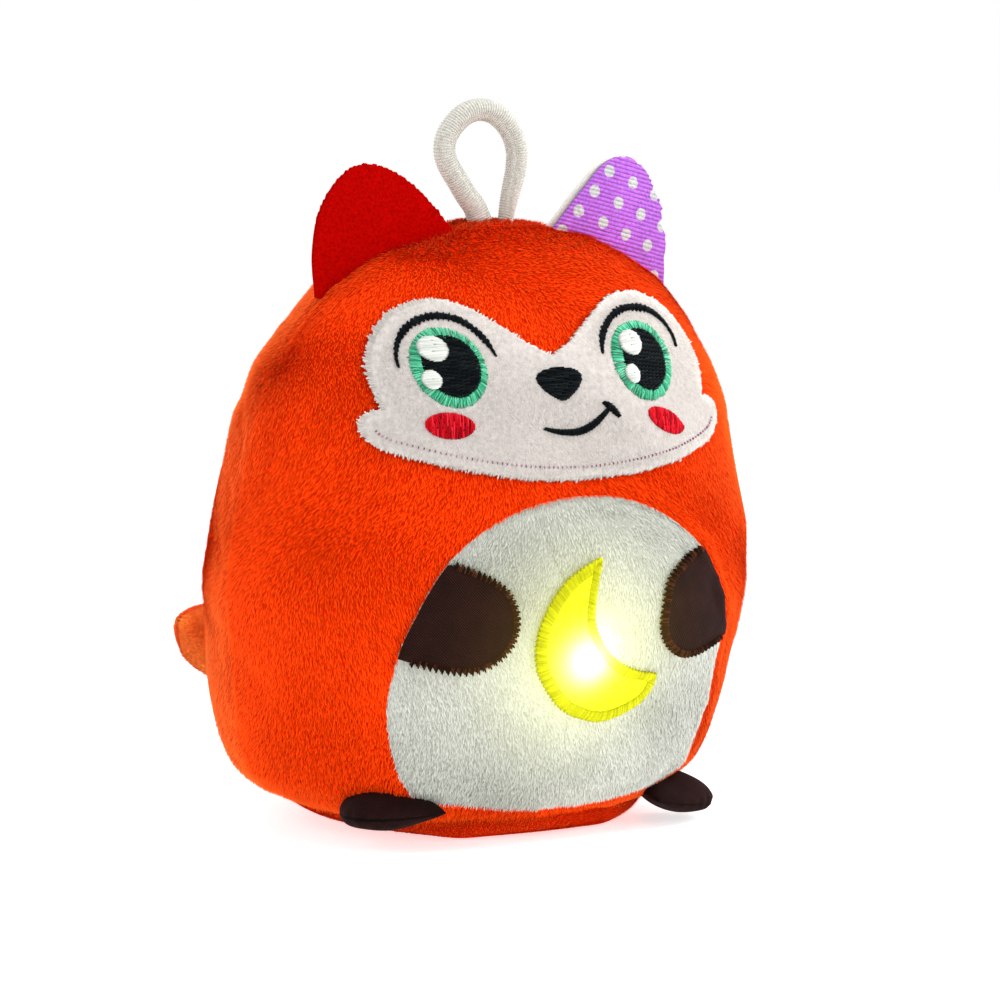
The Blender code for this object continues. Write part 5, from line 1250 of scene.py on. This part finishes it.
# The feet are little stuffed pods of the same brown cloth: blunt behind, pointed in front, seamed all
# round at mid height, and with their toes hanging down a little.
foot_half_length, foot_half_reach, foot_half_thickness, foot_turn = 0.013, 0.0098, 0.0046, math.radians(41)
foot_places = {"left": (0.0379, -0.0292, 0.0066), "right": (-0.0381, -0.0308, 0.0096)}
foot_droop = {"left": math.radians(16), "right": math.radians(7)}
for side, sign in (("left", 1), ("right", -1)):
    bpy.ops.object.select_all(action="DESELECT")
    bpy.ops.mesh.primitive_uv_sphere_add(segments=128, ring_count=96)
    foot = bpy.context.object
    foot.name = f"{side}_foot_pod"
    foot.data.transform(Matrix.Rotation(math.radians(90), 4, "X"))
    weave, shade = [], []
    for corner in foot.data.vertices:
        x, y, z = corner.co
        round_there = math.sqrt(max(1e-9, 1 - y * y))
        leaf = 0.90 * max(0.0, 1 - y) ** 0.44 * max(0.0, 1 + y) ** 0.90
        x, z = x / round_there, z / round_there
        seam = math.exp(-(z / 0.10) ** 2)
        pucker = 0.05 * math.sin(24 * y + 3 * x) * math.exp(-((abs(z) - 0.22) / 0.20) ** 2)
        bulk = leaf * (1 + 0.5 * pucker)
        weave.append((math.atan2(z, x) * 0.0065, y * foot_half_length, 0))
        shade.append(math.exp(-(z / 0.07) ** 2))
        fold = 0.06 * math.sin(6 * y + 1.5 * x) * abs(z)
        corner.co = (x * foot_half_reach * bulk, y * foot_half_length,
                     (math.copysign(abs(z) ** 0.85, z) + fold) * leaf * foot_half_thickness)
    store(foot.data, "weave", weave)
    store(foot.data, "seam", shade)
    foot.data.transform(Matrix.Rotation(sign * foot_droop[side], 4, "Y"))
    foot.data.transform(Matrix.Rotation(-sign * foot_turn, 4, "Z"))
    foot.data.transform(Matrix.Translation(foot_places[side]))
    foot.data.shade_smooth()
    foot.data.materials.append(twill.material)
    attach(foot, "root")
    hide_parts(f"{side}_foot")

# The ears stand in the head's seam. The toy's right one is two layers of red felt. Its left one is a
# lilac ribbon with cross ribs and white dots, in front of a plain off-white layer.
ear_width, ear_height, ear_inner, ear_bottom, ear_layer = 0.037, 0.031, 0.0112, 0.130, 0.0012
ear_shares = [
    (0, 0.42), (0.13, 0.60), (0.24, 0.745), (0.36, 0.87), (0.48, 0.955), (0.62, 1.0), (0.74, 0.955),
    (0.85, 0.825), (0.93, 0.65), (0.975, 0.45), (1.0, 0.22), (0.99, -0.04), (0.45, -0.06),
]
ear_seam = -0.008812
ear_line = curve_through([(u * ear_width, v * ear_height) for u, v in ear_shares], (0, 11, 12), 8)
ear_middle = np.array((0.56 * ear_width, 0.36 * ear_height))

red_felt = Finish("red_felt", Roughness=0.95, Specular_IOR_Level=0.0)
red_felt.fibres(1500.0, 3.0, (0.26, 0.0006, 0.0003), (0.40, 0.0014, 0.0007), 0.0004, 0.6)
ribbon = Finish("dotted_ribbon", Roughness=0.7, Specular_IOR_Level=0.15)
off_white = Finish("off_white_cloth", Roughness=0.9, Specular_IOR_Level=0.1)
off_white.fibres(1600.0, 3.0, (0.49, 0.48, 0.44), (0.60, 0.59, 0.53), 0.0002, 0.5)

rib_slope, rib_pitch = math.radians(-14), 0.0010
dot_slope, dot_pitch, dot_row_pitch, dot_row_shift = math.radians(-23), 0.0077, 0.0061, -0.0024
dot_radius, first_dot = 0.00155, (0.0214, 0.0198)
parts = ribbon.node("SeparateXYZ", Vector=ribbon.attribute("weave").outputs["Vector"])


def along_slope(slope, start=(0.0, 0.0)):
    """Two sockets: how far along a sloping line, and how far off it."""
    x = ribbon.math("SUBTRACT", parts.outputs[0], start[0])
    y = ribbon.math("SUBTRACT", parts.outputs[1], start[1])
    c, t = math.cos(slope), math.sin(slope)
    return (ribbon.math("MULTIPLY_ADD", x, c, ribbon.math("MULTIPLY", y, t)),
            ribbon.math("MULTIPLY_ADD", x, -t, ribbon.math("MULTIPLY", y, c)))


def off_nearest(value, pitch):
    """How far a value is from the nearest of many evenly spaced ones, and which one that is."""
    which = ribbon.math("ROUND", ribbon.math("DIVIDE", value, pitch))
    return ribbon.math("MULTIPLY_ADD", which, -pitch, value), which


dot_along, dot_over = along_slope(dot_slope, first_dot)
off_row, row = off_nearest(dot_over, dot_row_pitch)
off_dot, _ = off_nearest(ribbon.math("MULTIPLY_ADD", row, dot_row_shift, dot_along), dot_pitch)
squares = ribbon.math("ADD", ribbon.math("POWER", off_row, 2.0), ribbon.math("POWER", off_dot, 2.0))
off = ribbon.math("SQRT", squares)
dots = ribbon.ramp(ribbon.math("MULTIPLY", off, 1 / (2 * dot_radius)), (0.46, 1.0), (0.52, 0.0))
_, rib_over = along_slope(rib_slope)
rib = ribbon.wave(rib_over, rib_pitch)
strand = ribbon.noise(1500.0, 2.0)
lilac = ribbon.blend(
    1.0, ribbon.ramp(strand, (0.3, (0.32, 0.082, 0.50)), (0.7, (0.46, 0.15, 0.66))),
    ribbon.ramp(rib, (0.1, 0.62), (0.6, 1.05)), "MULTIPLY")
pale = ribbon.blend(1.0, ribbon.ramp(strand, (0.3, (0.38, 0.40, 0.40)), (0.7, (0.56, 0.58, 0.57))),
                    ribbon.ramp(rib, (0.1, 0.80), (0.6, 1.0)), "MULTIPLY")
ribbon.feed("Base Color", ribbon.blend(dots, lilac, pale))
ribbon.bump(rib, 0.0003, 0.7)

for side, sign in (("left", 1), ("right", -1)):
    for layer, at_front in (("front", True), ("back", False)):
        name = f"{side}_ear_{layer}"
        shares = np.linspace(0.004, 1, 64)
        is_ribbon = name == "left_ear_front"
        rim = ear_line.copy()
        c, t = math.cos(rib_slope), math.sin(rib_slope)
        if is_ribbon:
            saw = ((-rim[:, 0] * t + rim[:, 1] * c) / rib_pitch) % 1 - 0.5
            ragged = 0.0009 * saw * (1 + 0.5 * np.sin(rim[:, 1] * 1100))
            ragged += 0.0004 * np.sin(rim[:, 1] * 700 + 1)
            rim[:, 0] += np.clip((rim[:, 0] - 1.25 * ear_middle[0]) / 0.004, 0, 1) * ragged
        if side == "right":
            outside = np.clip(rim[:, 0] / ear_width * 5 - 4, 0, 1)
            low_outside = outside * np.clip(1 - rim[:, 1] / ear_height / 0.6, 0, 1)
            nicks = np.random.default_rng(3).normal(0, 0.00013, len(rim))
            nicks += 0.00016 * np.where(np.arange(len(rim)) % 2, 1, -1)
            rim[:, 0] -= 0.0013 * low_outside
            rim[:, 1] = rim[:, 1] * 0.975 + nicks * (rim[:, 1] > 0.004)
        rim[:, 0] += (0.0022 if is_ribbon else 0.0010 if side == "left" else 0) * np.clip(
            (ear_middle[0] - rim[:, 0]) / 0.010, 0, 1)
        flat = np.concatenate([ear_middle + (rim - ear_middle) * share for share in shares])
        bow = 0.0016 * np.sin(np.clip(flat[:, 1] / ear_height, 0, 1) * 2.6) * (
            1 - ((flat[:, 0] - ear_middle[0]) / (0.5 * ear_width)) ** 2)
        off = (-0.5 if at_front else 0.5) * (ear_layer + 0.0003) - bow
        if is_ribbon:
            off = off - 0.00010 * np.sin((-flat[:, 0] * t + flat[:, 1] * c) * math.tau / rib_pitch)
        points = np.stack([sign * (ear_inner + flat[:, 0]), ear_seam + off, ear_bottom + flat[:, 1]], 1)
        finish = ribbon if is_ribbon else off_white if side == "left" else red_felt
        ear = new_piece(name + "_cloth", points, rings(len(ear_line), 64), finish)
        store(ear.data, "weave", np.stack([*flat.T, 0 * off], 1))
        wall = ear.modifiers.new("cloth", "SOLIDIFY")
        wall.thickness, wall.offset = ear_layer - 0.0002, 0
        apply_modifiers(ear)
        outward_faces(ear)
        about = Vector((sign * (ear_inner + ear_width / 2), ear_seam, 0))
        ear.data.transform(Matrix.Translation(about) @ Matrix.Rotation(sign * math.radians(8), 4, "Z")
                           @ Matrix.Translation(-about))
        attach(ear, "root")
        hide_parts(name)

# The hanging loop is a round knitted elastic, with fine ribs across it and a groove between its two
# rows of knitting. Both ends go down into the seam over the head, the toy's right one spread out flat.
loop_radius, loop_half_width, loop_rise, loop_x = 0.0026, 0.0098, 0.0236, -0.0037
loop_hinge = (0.0, -0.008812, 0.1491)
loop_shares = [
    (0.05, -0.21), (-0.15, 0), (-0.38, 0.123), (-0.64, 0.284), (-0.91, 0.46), (-1, 0.61), (-0.91, 0.757),
    (-0.63, 0.897), (-0.34, 0.975), (0, 1), (0.33, 0.97), (0.65, 0.875), (0.89, 0.73), (1, 0.553),
    (0.96, 0.367), (0.84, 0.18), (0.74, 0), (0.66, -0.21),
]
loop_round, loop_step, loop_rib = 36, 0.00013, 0.00062
loop_line = curve_through(
    [(loop_x + u * loop_half_width, v * loop_rise) for u, v in loop_shares], closed=False)
loop_line, _ = evenly(loop_line, loop_step, closed=False)
loop_path = np.stack([
    loop_line[:, 0], np.full(len(loop_line), loop_hinge[1]), loop_hinge[2] + loop_line[:, 1],
    np.full(len(loop_line), loop_radius)], 1)


def band_section(turns, along):
    gone = along * len(loop_path) * loop_step
    rib = 1 + 0.05 * np.sin(gone * math.tau / loop_rib + 1.2 * np.abs(np.cos(turns)) * 2)
    groove = 1 - 0.13 * np.exp(-(np.cos(turns + 0.5) / 0.20) ** 2)
    start, end = math.exp(-(gone / 0.006) ** 2), math.exp(-((len(loop_path) * loop_step - gone) / 0.010) ** 2)
    wide, deep = 1 + 0.22 * start - 0.42 * end, 1 - 0.30 * start + 0.10 * end
    return rib * groove * wide * np.cos(turns), rib * groove * deep * np.sin(turns)


loop_points = swept(loop_path, loop_round, band_section, up=(0, 1.0, 0))
gone = np.repeat(np.arange(len(loop_path)) * loop_step, loop_round)
loop_points = np.concatenate([loop_points, loop_path[:1, :3], loop_path[-1:, :3]])
elastic = Finish("off_white_elastic", Roughness=0.9, Specular_IOR_Level=0.05)
knit = elastic.noise(1300.0, 2.0)
row = elastic.wave(elastic.attribute("gone").outputs["Fac"], loop_rib)
elastic.feed("Base Color", elastic.blend(
    1.0, elastic.ramp(knit, (0.3, (0.44, 0.43, 0.385)), (0.7, (0.58, 0.57, 0.515))),
    elastic.ramp(row, (0.1, 0.80), (0.6, 1.0)), "MULTIPLY"))
elastic.bump(knit, 0.0001, 0.5)
loop = new_piece("loop_band", loop_points, closed_tube(loop_round, len(loop_path)), elastic)
store(loop.data, "gone", np.concatenate([gone, gone[:1], gone[-1:]]))
outward_faces(loop)
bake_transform(loop)
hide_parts("hang_loop")

# The flap under the toy closes the light's pouch. It is two layers of the orange cloth, stitched together
# round the edge and sewn on along its rear edge, where it folds. A strip of hooks on it meets a strip of
# loops on the pouch.
flap_low, flap_high = 0.0008, 0.0023
flap_round = 160
flap_line = rounded_box(flap_half_width, flap_front, flap_back, flap_corner, flap_round)
flap_middle = flap_line.mean(0)
flap_profile = [
    (0.01, 1.0), (0.3, 1.0), (0.6, 1.0), (0.84, 0.96), (0.90, 0.72), (0.94, 0.92), (0.985, 0.75), (1.0, 0.2),
    (1.0, -0.2), (0.985, -0.75), (0.94, -0.92), (0.90, -0.72), (0.84, -0.96), (0.6, -1.0), (0.3, -1.0),
    (0.01, -1.0)]
flap_points = np.concatenate([np.column_stack([
    flap_middle + (flap_line - flap_middle) * share,
    np.full(flap_round, (flap_low + flap_high) / 2 + side * (flap_high - flap_low) / 2)
]) for share, side in flap_profile])
flap_top = tuple(range(flap_round))[::-1]
flap_bottom = tuple(range(flap_round * (len(flap_profile) - 1), flap_round * len(flap_profile)))
flap_faces = rings(flap_round, len(flap_profile)) + [flap_top, flap_bottom]
flap = new_piece("base_flap_cloth", flap_points, flap_faces, orange_ground_painted_shade)
outward_faces(flap)
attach(flap, "base_flap")
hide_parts("base_flap")
under = flap_points[flap_round * 10:]
flap_pile = grow_pile(
    "base_flap_pile", under, rings(flap_round, 6), orange_plush, 7.0, 0.45, seed=15, lean=3.0,
    flow=(0, 1.0, 0), outward=np.tile((0, 0, -1.0), (len(under), 1)), body="base_flap", upwards=False)

white_nylon = Finish("white_nylon", Roughness=0.6, Specular_IOR_Level=0.3)
white_nylon.fibres(1200.0, 4.0, (0.50, 0.50, 0.47), (0.78, 0.78, 0.75), 0.0003, 0.7)


def eased_copy(name, node, finish, body, cell, lumps, inwards):
    """A soft piece with a CAD solid's form: its long edges cut finer, and its surface a little uneven."""
    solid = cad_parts[node].data
    work = bmesh.new()
    work.from_mesh(solid)
    bmesh.ops.remove_doubles(work, verts=work.verts, dist=0.00001)
    for _ in range(4):
        long = [edge for edge in work.edges if edge.calc_length() > 2.2 * cell]
        if not long:
            break
        bmesh.ops.subdivide_edges(work, edges=long, cuts=1)
        bmesh.ops.triangulate(work, faces=[face for face in work.faces if len(face.verts) > 3])
    work.normal_update()
    for corner in work.verts:
        at = np.array(corner.co)
        lump = sum(math.sin(float(at @ way) * 4 + start) for way, start in zip(lump_ways, lump_starts)) / 6
        corner.co = Vector(at) + corner.normal * (lumps * (lump - 1) - inwards)
    mesh = bpy.data.meshes.new(name)
    work.to_mesh(mesh)
    work.free()
    mesh.materials.clear()
    mesh.materials.append(finish.material)
    made = bpy.data.objects.new(name, mesh)
    stage.collection.objects.link(made)
    mesh.shade_smooth()
    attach(made, body)
    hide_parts(node)
    return made


fibre_fill = Finish("fibre_fill", Roughness=0.95, Specular_IOR_Level=0.0)
fibre_fill.fibres(240.0, 6.0, (0.60, 0.60, 0.57), (0.86, 0.86, 0.83), 0.0006, 0.8)
lining = Finish("pouch_lining", Roughness=0.9, Specular_IOR_Level=0.05)
yarns = lining.math("MULTIPLY", *(
    lining.wave(lining.node("SeparateXYZ", Vector=lining.place()).outputs[axis], 0.0006) for axis in (0, 2)))
lining.feed("Base Color", lining.ramp(yarns, (0.1, (0.50, 0.50, 0.47)), (0.8, (0.74, 0.73, 0.69))))
lining.bump(yarns, 0.0001, 0.6)
cells = {"hook_strip": (white_nylon, "base_flap", "off_white_cloth", 0.0008, 0.00010, 0.0),
         "loop_strip": (white_nylon, "root", "off_white_cloth", 0.0008, 0.00010, 0.0),
         "module_pouch": (lining, "root", "off_white_cloth", 0.0020, 0.00006, 0.0),
         "body_filling": (fibre_fill, "root", "fibre", 0.0030, 0.00030, 0.0004)}
for node, (finish, body, slot, cell, lumps, inwards) in cells.items():
    soft = eased_copy(node + "_cloth" if node != "body_filling" else "loose_filling",
                      node, finish, body, cell, lumps, inwards)

# The light module keeps its CAD shapes. Each of its finishes is mixed here: moulded plastics with a fine
# grain, plated steel, the circuit board's green lacquer, and the cells' shrink wrap.
def moulded(name, dark, light, roughness, grain=1800.0, depth=0.00004, specular=0.5, **fixed):
    """A moulded or plated surface: mottled a little, its roughness uneven, with a fine grain."""
    made = Finish(name, Specular_IOR_Level=specular, **fixed)
    mottle = made.noise(160.0, 4.0)
    made.feed("Base Color", made.ramp(mottle, (0.3, dark), (0.7, light)))
    made.feed("Roughness", made.math("MULTIPLY_ADD", made.noise(60.0, 3.0), 0.16, roughness - 0.08))
    made.bump(made.noise(grain, 3.0), depth, 0.6)
    return made


finishes = {
    "case_plastic": moulded("case_plastic_grain", (0.66, 0.66, 0.64), (0.75, 0.75, 0.73), 0.48),
    "frosted_plastic": moulded("frosted_plastic_grain", (0.84, 0.84, 0.76), (0.92, 0.92, 0.86), 0.60, 900.0),
    "silicone": moulded("silicone_grain", (0.40, 0.40, 0.40), (0.50, 0.50, 0.50), 0.65, 700.0, specular=0.3),
    "lit_lamp": moulded("lit_lamp_epoxy", (0.90, 0.86, 0.62), (1.0, 0.97, 0.80), 0.15, 400.0),
    "steel": moulded(
        "plated_steel", (0.50, 0.50, 0.49), (0.70, 0.70, 0.68), 0.30, 2600.0, 0.00002, Metallic=1.0),
    "cell_wrap": moulded("cell_wrap_film", (0.045, 0.050, 0.065), (0.10, 0.11, 0.14), 0.25, 500.0, 0.00002),
    "black_plastic": moulded("black_plastic_grain", (0.012, 0.012, 0.012), (0.030, 0.030, 0.030), 0.45),
}
lamp = finishes["lit_lamp"]
lamp.shader.inputs["Emission Color"].default_value = (1.0, 0.92, 0.6, 1)
lamp.feed("Emission Strength", lamp.ramp(lamp.noise(200.0), (0.2, 3.0), (0.8, 5.0)))
frosted = finishes["frosted_plastic"]
lit_from_behind(frosted, (1.0, 0.95, 0.5), 0.8, 0.3, 0.012)
board = Finish("green_lacquer", Specular_IOR_Level=0.5)
tracks = board.node("TexBrick", {"offset": 0.5}, Vector=board.place(900.0), Mortar_Size=0.02, Scale=1.0)
tracks.inputs["Color1"].default_value = (0.010, 0.13, 0.045, 1)
tracks.inputs["Color2"].default_value = (0.014, 0.17, 0.060, 1)
tracks.inputs["Mortar"].default_value = (0.04, 0.30, 0.12, 1)
board.feed("Base Color", board.blend(0.5, tracks.outputs[0], board.ramp(
    board.noise(500.0, 3.0), (0.3, (0.012, 0.14, 0.05)), (0.7, (0.022, 0.21, 0.075)))))
board.feed("Roughness", board.math("MULTIPLY_ADD", board.noise(90.0), 0.2, 0.25))
board.bump(tracks.outputs[1], 0.00003, 0.5)
finishes["circuit_board"] = board
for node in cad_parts.values():
    for there in node.material_slots:
        kind = there.material.name.split(".")[0] if there.material else ""
        if kind in finishes:
            there.material = finishes[kind].material

bpy.data.objects.remove(tuft)
